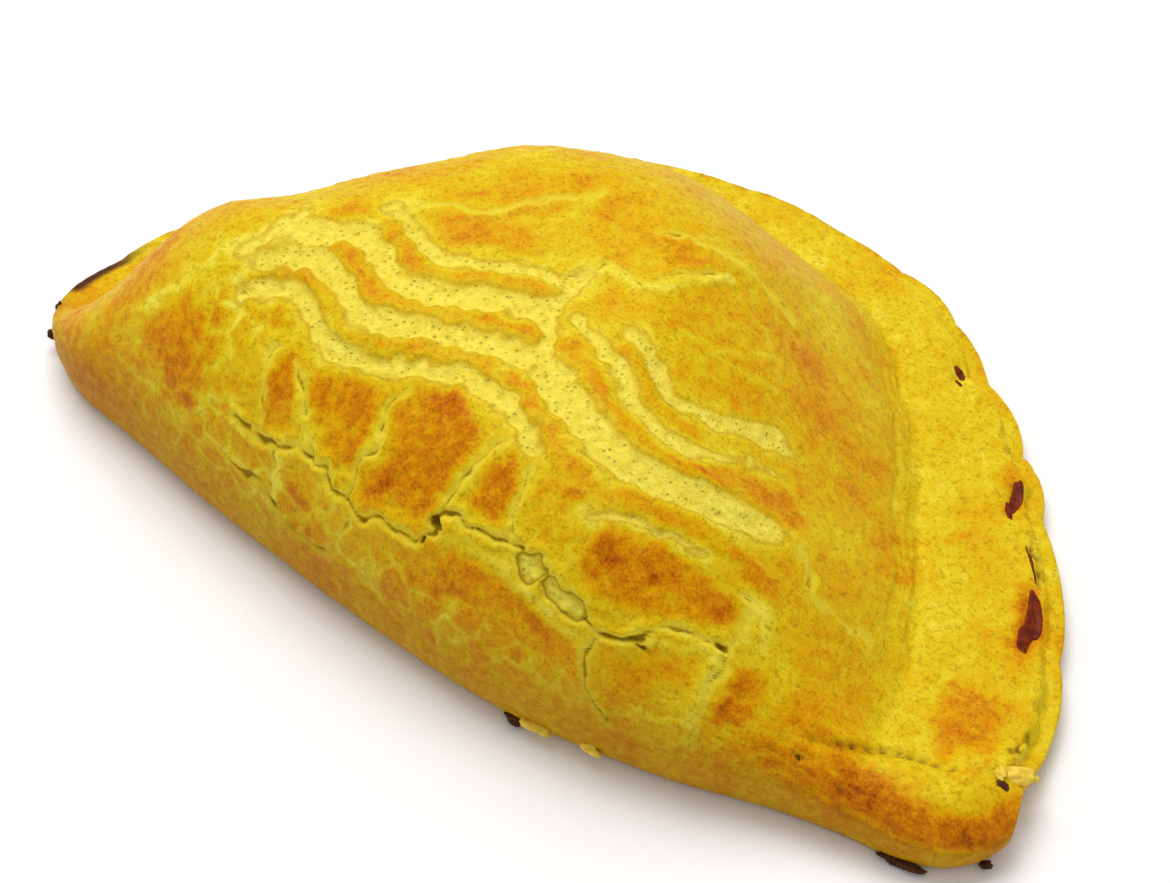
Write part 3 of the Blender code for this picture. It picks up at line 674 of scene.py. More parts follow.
@dataclass(frozen=True)
class PressedEdge:
    """The marks on the pressed edge: presses, creases, the lower layer and the gaps where juice leaked."""

    crease_depth: float = 0.4
    crease_width: float = 0.04
    step: float = 0.45
    run: Pair = (0.1, 0.94)
    fade: Pair = (-4, 1)
    tip_fade: Pair = (2, 8)
    layer_width: float = 2.3
    layer_drop: float = 1.7
    layer_wall: Pair = (-0.4, 0.4)
    layer_wander: float = 0.25
    layer_hides: Pair = (62, 74)
    layer_hidden: float = 0.7
    gaps: tuple[Pair, ...] = ((62.2, 2.2), (42.8, 3.0), (25.3, 4.6), (3.5, 2.2))
    gap_depth: float = 1.2
    gap_place: float = 3.8
    gap_width: float = 1.4
    # Thin slits where the two layers parted: degrees at the start and the end, and distance from the rim.
    slits: tuple[Triple, ...] = ((30, 38, 3.3), (7.5, 13.5, 3.0))
    slit_ends: float = 1.5  # degrees over which a slit closes at its ends
    slit_wander: float = 0.4
    slit_width: float = 0.22
    slit_depth: float = 0.7

    def depth(self, spots: Spots, noise: Array) -> tuple[Array, Array, Array]:
        """Works out the marks on the pressed edge.

        Args:
            spots: the places.
            noise: how far the edges wander, -1 to 1.

        Returns:
            How deep the marks lie, straight down, in mm, how fully a place is on the lower layer, and how fully
            in a slit.
        """
        off_tips = ease(spots.to_fold - spots.to_rim, *self.tip_fade)
        on_edge = off_tips * (1 - ease(spots.to_rim - spots.width, *self.fade))
        crease = bump(spots.phase, self.crease_width) + bump(spots.phase - 1, self.crease_width)
        start, end = self.run
        step = self.step * (0.5 - spots.phase) * ease(spots.phase, 0, start) * (1 - ease(spots.phase, end, 1))
        wall = spots.to_rim - self.layer_width + self.layer_wander * noise
        lower = (1 - ease(wall, *self.layer_wall)) * off_tips
        lower *= 1 - self.layer_hidden * ease(spots.angle, *self.layer_hides)
        gap = np.zeros(len(spots.places))
        for degrees, half_length in self.gaps:
            along = np.radians(spots.angle - degrees) * spots.form.half_length
            across = spots.to_rim - self.gap_place
            gap = np.maximum(gap, self.gap_depth * bump(along, half_length) * bump(across, self.gap_width))
        slit = np.zeros(len(spots.places))
        for low, high, place in self.slits:
            along = ease(spots.angle, low, low + self.slit_ends)
            along *= 1 - ease(spots.angle, high - self.slit_ends, high)
            across = bump(spots.to_rim - place - self.slit_wander * noise, self.slit_width)
            slit = np.maximum(slit, along * across)
        pressed = spots.strength * (self.crease_depth * crease + step) + gap + self.slit_depth * slit
        return on_edge * pressed + self.layer_drop * lower, lower, slit * on_edge


@dataclass(frozen=True)
class DomeFoot:
    """Creases and fine wrinkles where the raised crust meets the pressed edge, and the seam at the right tip."""

    # Distance beyond the pressed edge, half width and depth.
    creases: tuple[Triple, ...] = ((0.4, 0.7, 0.3), (3.2, 0.5, 0.25))
    start: Pair = (8, 20)
    end: Pair = (88, 110)
    off_fold: Pair = (14, 20)
    wrinkle_length: float = 1.1  # from one fine wrinkle to the next
    wrinkle_depth: float = 0.1
    wrinkle_place: float = 1.5
    wrinkle_reach: float = 2.6
    wrinkle_warp: float = 1.6
    warp: WaveField = WaveField(51, 9, 26)
    seam: tuple[Pair, ...] = (
        (52, -35), (54, -33.8), (56, -32.3), (58.5, -29.8), (62, -27.4), (65, -26.2), (68, -25.2), (72, -24),
    )
    seam_width: float = 0.6
    seam_depth: float = 0.7
    pricks: tuple[Pair, ...] = (
        (54.8, -32.8), (55.9, -31.6), (57.2, -30.2), (58.6, -29), (60.2, -28), (61.4, -27.3), (62.9, -26.7),
        (64.3, -26.3), (66.1, -26.2),
    )
    prick_size: float = 0.42
    prick_depth: float = 1.0

    def depth(self, spots: Spots) -> tuple[Array, Array, Array]:
        """Works out the creases, the wrinkles and the seam.

        Args:
            spots: the places.

        Returns:
            Their depth in mm, how fully a place lies in a prick of the seam, and how fully on a wrinkle's crest.
        """
        beyond = spots.to_rim - spots.width
        shown = ease(spots.angle, *self.start) * (1 - ease(spots.angle, *self.end))
        shown *= ease(spots.to_fold, *self.off_fold)
        depth = np.zeros(len(spots.places))
        for offset, half_width, deep in self.creases:
            depth = np.maximum(depth, deep * bump(beyond - offset, half_width) * shown)
        warp = self.wrinkle_warp * self.warp.at(spots.points)
        ripple = np.sin(2 * math.pi * beyond / self.wrinkle_length + warp)
        where = bump(beyond - self.wrinkle_place, self.wrinkle_reach) * shown
        depth = depth + self.wrinkle_depth * ripple * where
        seam = self.seam_depth * bump(distance_to(spots.places, smooth_curve(self.seam)), self.seam_width)
        prick = np.zeros(len(spots.places))
        for place in self.pricks:
            prick = np.maximum(prick, bump(np.hypot(*(spots.places - place).T), self.prick_size))
        return np.maximum(np.maximum(depth, seam), self.prick_depth * prick), prick, np.maximum(-ripple, 0) * where


@dataclass(frozen=True)
class Baking:
    """Where the oven browned the crust, and how much, from 0, pale yellow, to 1, dark brown; low on the fold part of
    it is painted shade.
    """

    base: float = 0.45
    flange: float = 0.32
    fold_brown_and_shade: float = 0.12  # how much browner the low side of the fold is, partly real browning and partly painted shade, and up to where
    fold_brown_and_shade_reach: float = 12.0
    spotted: float = 0.7  # how strong the spots below are
    near_marks: float = 0.12  # how much paler the crust is right beside a crack or band, from where and how far
    near_start: float = 0.3
    near_reach: float = 0.7
    plate_clear: float = 1.3  # a plate is fully brown this far from a crack, and less brown right beside it
    plate_least: float = 0.6
    strips: float = 0.22
    beside_bands: float = 0.15  # how much paler the crust is round the comb's bands, and how far
    bands_reach: float = 2.4
    lower_layer: float = 0.03
    rim: float = 0.12
    rim_width: float = 1.2
    pale_ridges: float = 0.36
    pale_net: float = 0.46
    pale_crests: float = 0.16
    left_end: Pair = (166, 173)  # degrees over which the burnt rim of the left end begins
    burnt_rim: Pair = (0.8, 2.0)  # it fades out between these distances from the rim
    far_rim: float = 0.25  # how dark the rim at the back is, from where, how wide and in which patches
    far_from: Pair = (88, 96)
    far_width: float = 0.8
    far_patches: Pair = (0.1, 0.9)
    slit_edges: float = 0.9
    painted_fold_shade: float = 0.6  # painted shade: how strongly the colour of the base is painted up round the low fold, and up to where
    painted_fold_shade_reach: float = 8.0
    patches: WaveField = WaveField(31, 6, 20)
    patchy: float = 0.06
    blotches: WaveField = WaveField(32, 1.6, 4.5, 60)
    blotchy: float = 0.03
    warp: tuple[WaveField, WaveField] = (WaveField(33, 3, 9), WaveField(34, 3, 9))
    warped: float = 0.35
    fine_warp: tuple[WaveField, WaveField] = (WaveField(35, 1, 2.6), WaveField(36, 1, 2.6))
    fine_warped: float = 0.2
    plates: tuple[Plate, ...] = (
        Plate(0.70, 2.2, ((-26, 16), (-20, 16), (-22, 21), (-24.5, 25), (-26.5, 24), (-26.5, 19))),
        Plate(0.72, 2.4, ((-16.5, 16.3), (-11, 16.3), (-10.5, 20), (-10, 24), (-11, 27), (-14, 27.5), (-18, 26),
                          (-21.5, 24), (-20, 21), (-18.5, 18.5))),
        Plate(0.71, 2.6, ((-8.5, 16), (-4, 15.8), (0, 16), (2, 17.5), (2.6, 20), (3, 24), (4, 28), (3, 31),
                          (-1, 32.5), (-5, 32), (-8, 30), (-8.5, 26), (-7.5, 22))),
        Plate(0.72, 2.2, ((5.5, 20.8), (10.5, 21), (11, 25), (10, 28.5), (7, 29), (5.8, 25))),
        Plate(0.62, 2.4, ((14, 21.8), (20.5, 22), (20.5, 26), (17, 27.5), (13.5, 26.5))),
        Plate(0.76, 2.6, ((21.5, 21), (24, 19.5), (27, 18.5), (30, 19), (33, 21.5), (37, 23.5), (39.3, 25),
                          (38.8, 28), (36, 30), (31, 30), (27, 29), (22.5, 28), (21, 25))),
        Plate(0.66, 2.6, ((5, 9), (12, 8), (20, 7), (25, 8), (25.8, 11), (23, 13.2), (19, 14), (15, 15.5),
                          (8, 15.8), (4.6, 14))),
        Plate(0.68, 3.5, ((-50, 9), (-38, 8), (-36, 14), (-36, 20), (-38, 25), (-43, 24), (-46.5, 20), (-49, 15))),
        Plate(0.80, 1.2, ((41.8, 12), (45, 12), (45.3, 19), (44.2, 22.8), (42.5, 22), (41.6, 18))),
        Plate(0.5, 3.0, ((28, 6), (39, 5), (39.5, 12), (39.5, 18), (37, 20), (34, 19), (32, 16), (29.5, 13.5),
                          (27.5, 11))),
        Plate(0.62, 6.0, ((42.5, 4), (56, 4), (66, 3), (76, 2), (77, 12), (66, 17), (56, 20), (50, 24), (46, 22),
                          (45, 12))),
        Plate(0.52, 3.0, ((8, 56), (14, 55), (22, 57), (27, 55), (33, 58), (37, 62), (37, 70), (32, 73.5), (23, 74),
                          (14, 74), (10, 70), (8, 63))),
        Plate(0.58, 3.0, ((10, 56), (16, 57), (21, 60), (24, 64), (23.5, 70), (20, 73), (14, 73), (11, 69),
                          (9.5, 62))),
        Plate(0.56, 3.0, ((20, 53), (27, 54.5), (31, 58), (31.5, 64), (29, 69), (25.5, 68), (22.5, 62),
                          (20, 58))),
        Plate(0.70, 2.0, ((25, 40.5), (33, 40.5), (37, 44.5), (33, 48), (27, 46.5))),
        Plate(0.56, 2.4, ((30, 50), (35, 49), (40, 55), (38, 58), (33, 57), (30, 54))),
        Plate(0.60, 1.8, ((-37, 23), (-31, 24.5), (-28, 27.5), (-31, 29), (-36, 28))),
        Plate(0.62, 2.2, ((-20, 8), (-16, 6.5), (-14.5, 9), (-15, 12.8), (-19, 12.8))),
        Plate(0.56, 2.2, ((-32.5, 9), (-28, 9.2), (-23.5, 9), (-23, 12), (-27, 12.3), (-32, 12.6))),
        Plate(0.50, 2.2, ((-13, 6), (-6, 6), (-1, 8), (1, 11.5), (-6, 12), (-12.5, 11.5))),
        Plate(0.60, 2.2, ((-34.5, 41), (-31, 43.5), (-28, 46), (-27, 49.5), (-30.5, 49), (-33.5, 46))),
        Plate(0.56, 2.6, ((-25, 49.8), (-18, 49), (-14, 51), (-8, 55), (-8, 58), (-14, 58), (-19, 56), (-23, 53.5))),
        Plate(0.58, 3.4, ((-21, 57), (-14, 59), (-10, 64), (-8, 70), (-13, 71), (-18, 68), (-22, 62))),
        Plate(0.52, 3.0, ((-8, 60), (-3, 60), (2, 62), (6, 65), (7.5, 69), (2, 71.5), (-5, 70), (-8, 65))),
        Plate(0.52, 2.0, ((3, 51.5), (9, 50.5), (9, 54), (12, 56), (8, 58.5), (3, 57.5), (1.5, 54))),
        Plate(0.54, 3.0, ((44, 28), (46, 36), (50.5, 36.5), (54.5, 31), (54, 23), (49, 21))),
        Plate(0.66, 3.0, ((58, 37), (61, 38), (65.5, 34.5), (69, 28), (70.5, 19), (65, 25), (60, 32))),
        Plate(0.50, 4.0, ((-71, 20), (-62, 15), (-54, 16), (-50, 24), (-52, 34), (-60, 36), (-69, 30))),
        Plate(0.48, 4.0, ((-42, 44), (-36, 46), (-30, 52), (-25, 60), (-24, 70), (-34, 66), (-41, 54))),
        Plate(0.46, 3.0, ((31, 50), (36, 50), (41, 56), (41.5, 66), (36, 70), (32, 62))),
        Plate(0.55, 8.0, ((-44, 84), (-30, 80), (-14, 84), (-12, 96), (-26, 100), (-42, 96))),
        Plate(0.54, 8.0, ((-4, 88), (10, 84), (24, 86), (22, 96), (6, 102), (-6, 98))),
        Plate(0.54, 1.6, ((36.5, 31.5), (41, 30.5), (44, 33), (42, 37), (38, 39.5), (34.5, 38.5), (35, 35.5))),
    )
    spots: tuple[Spot, ...] = (
        Spot(-1, 20, 2.6, 2.2, 0, 0.04), Spot(-6, 18, 2, 1.5, 0, 0.04), Spot(-3, 30.8, 3.5, 1.2, 0, 0.06),
        Spot(-13.5, 22, 3, 3, 0, 0.06), Spot(8, 23, 1.6, 1.8, 0, 0.1), Spot(27, 23.5, 4, 1.6, 10, 0.1),
        Spot(23, 26.5, 1.6, 1.4, 0, 0.1), Spot(30.5, 28.3, 2, 1, 0, 0.1), Spot(37.3, 26.5, 1.2, 1.8, 0, 0.12),
        Spot(20.5, 11.5, 1.6, 1.4, 0, 0.14), Spot(17, 13.2, 2.6, 1.2, -20, 0.1), Spot(43.6, 19, 1.1, 2, 0, 0.08),
        Spot(17.5, 69.8, 3, 1.6, 0, 0.14), Spot(28, 58.5, 1.3, 1.3, 0, 0.14), Spot(29, 64, 1.5, 1.5, 0, 0.12),
        Spot(24, 69.5, 1.4, 1.2, 0, 0.12), Spot(35.5, 57, 1.6, 2.6, 0, 0.16), Spot(12, 55.5, 1.3, 1.3, 0, 0.15),
        Spot(2, 51.5, 1, 1, 0, 0.2), Spot(-18, 8.5, 1.5, 1.8, 0, 0.16), Spot(-30, 11, 1.6, 1.2, 0, 0.08),
        Spot(-44, 15, 3.5, 3, 0, 0.08), Spot(32.5, 12, 2, 2, 0, 0.06), Spot(34.5, 15.5, 1.6, 1.6, 0, 0.14),
        Spot(36.5, 6, 1.6, 1.2, 0, 0.14), Spot(43.5, 56, 0.8, 4, -25, 0.3), Spot(46, 50.5, 0.9, 3.6, -20, 0.36),
        Spot(47.6, 46.6, 0.8, 1.5, 0, 0.3), Spot(24, 79, 2, 0.5, -10, 0.25), Spot(27.5, 77.6, 1.6, 0.4, -20, 0.25),
        Spot(-50.3, 13.5, 1.8, 0.9, 0, -0.2), Spot(-48, 19.5, 2.2, 2.2, 0, -0.2), Spot(-37.5, 34, 2.6, 4, 0, -0.12),
        Spot(37, 11.5, 1.6, 1.8, 0, -0.14), Spot(48.5, 60, 1.3, 0.8, 0, 0.2),
        Spot(72, 6, 5, 6, 0, 0.06), Spot(65, 30, 3, 3, 0, 0.08),
        Spot(-61, 10, 15, 12, 0, 0.16), Spot(66, 8, 16, 12, 0, 0.26), Spot(-31.5, 47, 2.2, 5, -20, 0.14),
        Spot(49.3, 68.6, 1.5, 5, 32, 0.6), Spot(61.6, 47, 1.7, 7.5, 25, 0.7), Spot(46.5, 66, 3, 3, 0, 0.14),
        Spot(58, 44, 3.5, 2, -30, 0.2), Spot(57, 28, 4, 4, 0, 0.1),
    )

    def browning(self, spots: Spots, nearest: Array, strip: Array) -> Array:
        """How brown each place is, with painted shade low on the fold.

        Args:
            spots: the places.
            nearest: distance from the nearest crack's or band's edge, in mm.
            strip: how fully a place lies on one of the comb's strips.

        Returns:
            The browning.
        """
        warp = np.column_stack([field.at(spots.points) for field in self.warp])
        fine = np.column_stack([field.at(spots.points) for field in self.fine_warp])
        marks = spots.marks + self.warped * warp + self.fine_warped * fine
        ground = self.flange + (self.base - self.flange) * spots.raised
        # Browner low on the fold: partly baking, partly painted shade.
        brown = ground + self.fold_brown_and_shade * bump(np.maximum(spots.marks[:, 1], 0), self.fold_brown_and_shade_reach)
        clear = self.plate_least + (1 - self.plate_least) * ease(nearest, 0.0, self.plate_clear)
        for plate in self.plates:
            brown += np.maximum(plate.brown - brown, 0) * plate.shown(marks) * clear
        for spot in self.spots:
            brown += self.spotted * spot.at(marks)
        uneven = self.patchy * self.patches.at(spots.points) + self.blotchy * self.blotches.at(spots.points)
        paler = self.near_marks * bump(np.maximum(nearest - self.near_start, 0), self.near_reach)
        return brown + self.strips * strip + uneven - paler

    def scorch(self, spots: Spots, ragged: Array, prick: Array, slit: Array) -> Array:
        """How burnt each place is.

        Args:
            spots: the places.
            ragged: how far the edges of marks wander, about -1 to 1.
            prick: how fully a place lies in a prick of the seam.
            slit: how fully a place lies in a slit of the pressed edge.

        Returns:
            0 to 1, almost black.
        """
        left_end = ease(spots.angle, *self.left_end) * (1 - ease(spots.to_rim, *self.burnt_rim))
        far_rim = self.far_rim * ease(spots.angle, *self.far_from) * bump(spots.to_rim, self.far_width)
        far_rim *= ease(ragged, *self.far_patches)
        burnt = np.maximum(np.maximum(prick, left_end), np.maximum(far_rim, self.slit_edges * slit))
        return np.clip(burnt, 0, 1)


@dataclass(frozen=True)
class Placement:
    """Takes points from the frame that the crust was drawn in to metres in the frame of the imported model."""

    low: Array
    high: Array

    def metres(self, points: Array) -> Array:
        """The points in metres, with the crust's own box on the solid's box."""
        start, end = (np.array(corner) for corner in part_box(NODE))
        return start + (points - self.low) * (end - start) / (self.high - self.low)


def joined(parts: list[tuple[Array, Faces]]) -> tuple[Array, Faces]:
    """Puts several small bodies into one mesh.

    Args:
        parts: points and faces of each body.

    Returns:
        All the points and all the faces.
    """
    faces: Faces = []
    count = 0
    for points, own in parts:
        faces += [tuple(corner + count for corner in face) for face in own]
        count += len(points)
    return np.vstack([points for points, _ in parts]), faces


def new_piece(name: str, points: Array, faces: Faces, material: bpy.types.Material) -> bpy.types.Object:
    """A smooth-shaded mesh object in the scene.

    Args:
        name: the piece's name.
        points: its corners, in metres.
        faces: its faces, as places in the list of corners.
        material: its finish.

    Returns:
        The object.
    """
    mesh = bpy.data.meshes.new(name)
    mesh.from_pydata(points.tolist(), [], faces)
    mesh.materials.append(material)
    mesh.shade_smooth()
    piece = bpy.data.objects.new(name, mesh)
    bpy.context.scene.collection.objects.link(piece)
    return piece


@dataclass(frozen=True)
class Skin:
    """The dough's own unevenness, and the random fields that the marks are roughened with."""

    swells: WaveField = WaveField(20, 12, 40, 14)  # the same slow swells of hand-made dough as in the solid
    swell_height: float = 0.16
    rough: WaveField = WaveField(41, 1.1, 3.2)
    rough_height: float = 0.03
    rougher_on_top: float = 0.016
    wavy: WaveField = WaveField(42, 2.5, 7)
    ragged: Pair = (0.6, 0.5)  # shares of the two fields above in how far the edges of marks wander
    grit: WaveField = WaveField(43, 0.9, 1.9, 60)
    grit_height: float = 0.022
    pits: WaveField = WaveField(44, 1.2, 2.6, 60)
    pits_above: float = 1.1
    drift: tuple[WaveField, WaveField] = (WaveField(45, 2, 6), WaveField(46, 2, 6))
    drifted: float = 0.25  # how far the marks are pushed about, in mm


@dataclass(frozen=True)
class Crust:
    """The whole crust as one closed mesh, with masks for its finish stored at the vertices."""

    outline: Outline
    form: CrustForm
    scores: CombScores
    cracks: Cracks
    crazing: Crazing
    edge: PressedEdge
    foot: DomeFoot
    baking: Baking
    skin: Skin
    middle: Pair = (0.0, -8.0)
    cells_along: int = 356
    cells_across: int = 248
    closer_in_the_middle: float = 0.8  # size of the middle cells along, as a share of even ones
    closer_on_the_fold: float = 0.16  # how far the cells across are drawn towards the fold
    closer_towards_fold: Pair = (-0.4, 0.9)
    tuck_towards_fold: Pair = (-0.3, 0.5)
    base_brown: float = 0.5  # browning of the flat underside, and how much it changes from place to place
    base_patchy: float = 0.05
    base_patches: WaveField = WaveField(37, 18, 60)
    tuck_rings: int = 5
    # Rings of the underside: share of the way out from the middle, and how many border points each keeps.
    base_rings: tuple[tuple[float, int], ...] = (
        (0.985, 2), (0.955, 4), (0.9, 4), (0.83, 4), (0.74, 4), (0.63, 4), (0.5, 8), (0.36, 8), (0.2, 8),
    )
    # The masks that each colour layer of the mesh carries in red, green and blue.
    stored: tuple[tuple[str, tuple[str, ...]], ...] = (
        ("bake", ("brown", "off_band", "off_crack")), ("torn", ("scorch", "under", "off_pocket")),
    )

    def grid(self) -> tuple[Array, Array]:
        """A square grid drawn into the unit disc.

        Returns:
            Each grid point's share of the radius, and its direction in radians.
        """
        row = np.linspace(-1, 1, self.cells_across + 1)
        column = np.linspace(-1, 1, self.cells_along + 1)
        row = row - self.closer_on_the_fold * (1 - row**2)
        column = column * (self.closer_in_the_middle + (1 - self.closer_in_the_middle) * column**2)
        across, along = np.meshgrid(row, column, indexing="ij")
        x = along * np.sqrt(1 - across**2 / 2)
        y = across * np.sqrt(1 - along**2 / 2)
        share = np.minimum(np.hypot(x, y), 1)
        direction = np.arctan2(y, x)
        steep = ease(-np.sin(direction), *self.closer_towards_fold)
        return (share + (np.sin(math.pi / 2 * share) - share) * steep).ravel(), direction.ravel()

    def radius(self, direction: Array) -> Array:
        """How far the outline lies from the middle.

        Args:
            direction: the directions, in radians.

        Returns:
            The distance in each direction.
        """
        pressed, fold = self.outline.routes()
        start = np.vstack([pressed[:-1], fold[:-1]])[::-1] - self.middle
        angle = np.arctan2(start[:, 1], start[:, 0])
        first = np.argmin(angle)
        start, angle = np.roll(start, -first, axis=0), np.roll(angle, -first)
        run = np.roll(start, -1, axis=0) - start
        piece = np.searchsorted(angle, direction, side="right") - 1
        reach = start[piece, 0] * run[piece, 1] - start[piece, 1] * run[piece, 0]
        return reach / (np.cos(direction) * run[piece, 1] - np.sin(direction) * run[piece, 0])

    def border(self) -> Array:
        """The border of the grid.

        Returns:
            The places of its points in the grid, anticlockwise.
        """
        wide, deep = self.cells_along + 1, self.cells_across + 1
        bottom = np.arange(wide - 1)
        right = np.arange(deep - 1) * wide + wide - 1
        top = (deep - 1) * wide + np.arange(wide - 1, 0, -1)
        left = np.arange(deep - 1, 0, -1) * wide
        return np.concatenate([bottom, right, top, left])

    def normals(self, points: Array) -> Array:
        """Unit normals of the top grid.

        Args:
            points: the points of the grid.

        Returns:
            The normals, pointing up and out.
        """
        sheet = points.reshape(self.cells_across + 1, self.cells_along + 1, 3)
        normal = np.cross(np.gradient(sheet, axis=1), np.gradient(sheet, axis=0)).reshape(-1, 3)
        return normal / np.linalg.norm(normal, axis=1)[:, None]

    def relief(self, spots: Spots) -> tuple[Array, Array, dict[str, Array]]:
        """The marks on the crust.

        Args:
            spots: the places.

        Returns:
            Lift along the surface's normal and drop straight down, in mm, and the masks of the finish.
        """
        points, raised, skin = spots.points, spots.raised, self.skin
        rough, grit = skin.rough.at(points), skin.grit.at(points)
        ragged = skin.ragged[0] * rough + skin.ragged[1] * skin.wavy.at(points)
        pits = np.maximum(skin.pits.at(points) - skin.pits_above, 0)
        marks = spots.marks + skin.drifted * np.column_stack([field.at(points) for field in skin.drift])
        band, off_band, strip = self.scores.measure(marks, ragged)
        crack, lift, off_crack, off_pocket, vein = self.cracks.measure(marks, ragged)
        net = self.crazing.shown(marks)
        foot, prick, crest = self.foot.depth(spots)
        pressed, lower, slit = self.edge.depth(spots, ragged)

        inside = 1 - ease(off_band, *self.scores.floor_from)
        in_pocket = 1 - ease(off_pocket, *self.cracks.pocket_from)
        pocket_grit = self.cracks.pocket_grit * grit * in_pocket
        floor = band + (self.scores.floor_grit * grit + self.scores.pit_depth * pits) * inside + pocket_grit
        depth = np.maximum(floor, crack + pocket_grit)
        lift = (lift - self.crazing.depth * net) * (1 - inside)
        lift += self.scores.strip_height * strip + self.cracks.vein_height * vein
        fine = (skin.rough_height + skin.rougher_on_top * raised) * rough + skin.grit_height * grit
        over = skin.swell_height * skin.swells.at(points) + fine + (lift - depth) * raised - foot

        baking = self.baking
        nearest = np.where(raised > 0.5, np.minimum(np.minimum(off_crack, off_pocket), off_band), REACH)
        brown = baking.browning(spots, nearest, strip * raised)
        brown -= baking.beside_bands * bump(np.maximum(off_band, 0), baking.bands_reach) * raised
        brown += baking.lower_layer * lower - baking.pale_ridges * vein * raised
        brown += baking.rim * bump(spots.to_rim, baking.rim_width) * (0.5 + 0.5 * np.clip(ragged, -1, 1))
        brown -= baking.pale_net * net + baking.pale_crests * crest
        # Distances are pushed out of reach where the marks of the top don't show.
        hidden = CODED * (1 - raised)
        masks = {
            "brown": brown,
            "off_band": 0.5 + (off_band + hidden) / CODED,
            "off_crack": 0.5 + (off_crack + hidden) / CODED,
            "scorch": baking.scorch(spots, ragged, prick, slit),
            "off_pocket": 0.5 + off_pocket / CODED,
            # painted shade: the underside's colour brought up round the low fold
            "painted_fold_shade": baking.painted_fold_shade * bump(np.maximum(spots.marks[:, 1], 0), baking.painted_fold_shade_reach),
        }
        return over, pressed, masks

    def top(self, places: Array) -> tuple[Array, dict[str, Array]]:
        """The marked upper surface.

        Args:
            places: the places of the grid, seen from above.

        Returns:
            Its points, and the masks of the finish.
        """
        spots = Spots(places, self.outline, self.form)
        over, pressed, masks = self.relief(spots)
        marked = spots.points + self.normals(spots.points) * over[:, None]
        marked[:, 2] -= pressed
        return marked, masks

    def height_at(self, places: Array) -> Array:
        """Height of the pressed edge, with its marks.

        Args:
            places: any places on it, seen from above.

        Returns:
            The heights.
        """
        spots = Spots(places, self.outline, self.form)
        over, pressed, _ = self.relief(spots)
        return spots.height + over - pressed

    def sheet_faces(self) -> Array:
        """Quads over the top grid.

        Returns:
            The corners of each, upper side out.
        """
        wide = self.cells_along + 1
        rows, columns = np.meshgrid(np.arange(self.cells_across), np.arange(self.cells_along), indexing="ij")
        cell = (rows * wide + columns).ravel()
        return np.column_stack([cell, cell + 1, cell + wide + 1, cell + wide])

    def rings_below(self, rim: Array, foot: Array) -> list[Array]:
        """The rings of points under the border of the top.

        Args:
            rim: the points of the border.
            foot: the points below them on the resting plane.

        Returns:
            The rings down the rounded tuck, then those of the flat base from the outside in, and the hub.
        """
        rings = []
        for ring in range(1, self.tuck_rings + 1):
            turn = math.pi / 2 * ring / self.tuck_rings
            tucked = foot + (rim - foot) * math.cos(turn)
            tucked[:, 2] = rim[:, 2] * (1 - math.sin(turn))
            rings.append(tucked)
        hub = np.array((*self.middle, 0.0))
        rings += [hub + (foot[::keep] - hub) * part for part, keep in self.base_rings]
        return rings + [hub[None, :]]

    def surface(self) -> tuple[Array, Faces, dict[str, Array]]:
        """The closed crust: marked top, rounded tuck and flat base.

        Returns:
            Its points, its faces and its masks.
        """
        share, direction = self.grid()
        way = np.column_stack([np.cos(direction), np.sin(direction)])
        away = self.radius(direction)
        top, masks = self.top(self.middle + way * (share * away)[:, None])
        loop = self.border()
        side = ease(-np.sin(direction[loop]), *self.tuck_towards_fold)
        tuck = self.form.edge_tuck + (self.form.belly_tuck - self.form.edge_tuck) * side
        foot = np.column_stack([self.middle + way[loop] * (away[loop] - tuck)[:, None], np.zeros(len(loop))])
        below = self.rings_below(top[loop], foot)
        points = np.vstack([top, *below])
        starts = len(top) + np.cumsum([0] + [len(ring) for ring in below])
        rings = [loop] + [start + np.arange(len(ring)) for start, ring in zip(starts, below[:-1])]
        faces = [tuple(face) for face in self.sheet_faces().tolist()]
        for upper, lower in zip(rings, rings[1:]):
            faces += self.band_faces(upper, lower)
        last, hub = rings[-1].tolist(), len(points) - 1
        faces += [(hub, last[index], last[index - 1]) for index in range(len(last))]
        # Below the top the masks carry on from the border, and what is burnt at the rim fades out down the tuck.
        down = [min(index / self.tuck_rings, 1.0) for index in range(1, len(below) + 1)]
        under = np.concatenate([np.zeros(len(top))] + [np.full(len(ring), part) for part, ring in zip(down, below)])
        closed = {}
        for name, values in masks.items():
            border = values[loop]
            fade = [1 - part if name == "scorch" else 1.0 for part in down]
            carried = [border[:: len(loop) // len(ring)] * kept for kept, ring in zip(fade, below)]
            closed[name] = np.concatenate([values, *carried])
        base = self.base_brown + self.base_patchy * self.base_patches.at(points)
        closed["brown"] += (base - closed["brown"]) * under
        # The underside's mask also carries the painted shade low on the fold.
        closed["under"] = np.maximum(closed.pop("painted_fold_shade"), under)
        return points, faces, closed

    @staticmethod
    def band_faces(upper: Array, lower: Array) -> Faces:
        """Faces between two rings.

        Args:
            upper: the outer ring's points.
            lower: the inner ring's points, as many or half as many.

        Returns:
            The faces, underside out.
        """
        above, below = upper.tolist(), lower.tolist()
        count = len(below)
        if len(above) == count:
            return [(above[k], below[k], below[(k + 1) % count], above[(k + 1) % count]) for k in range(count)]
        faces: Faces = []
        for k in range(count):
            left, middle, right = above[2 * k], above[2 * k + 1], above[(2 * k + 2) % len(above)]
            near, far = below[k], below[(k + 1) % count]
            faces += [(left, near, middle), (middle, near, far), (middle, far, right)]
        return faces

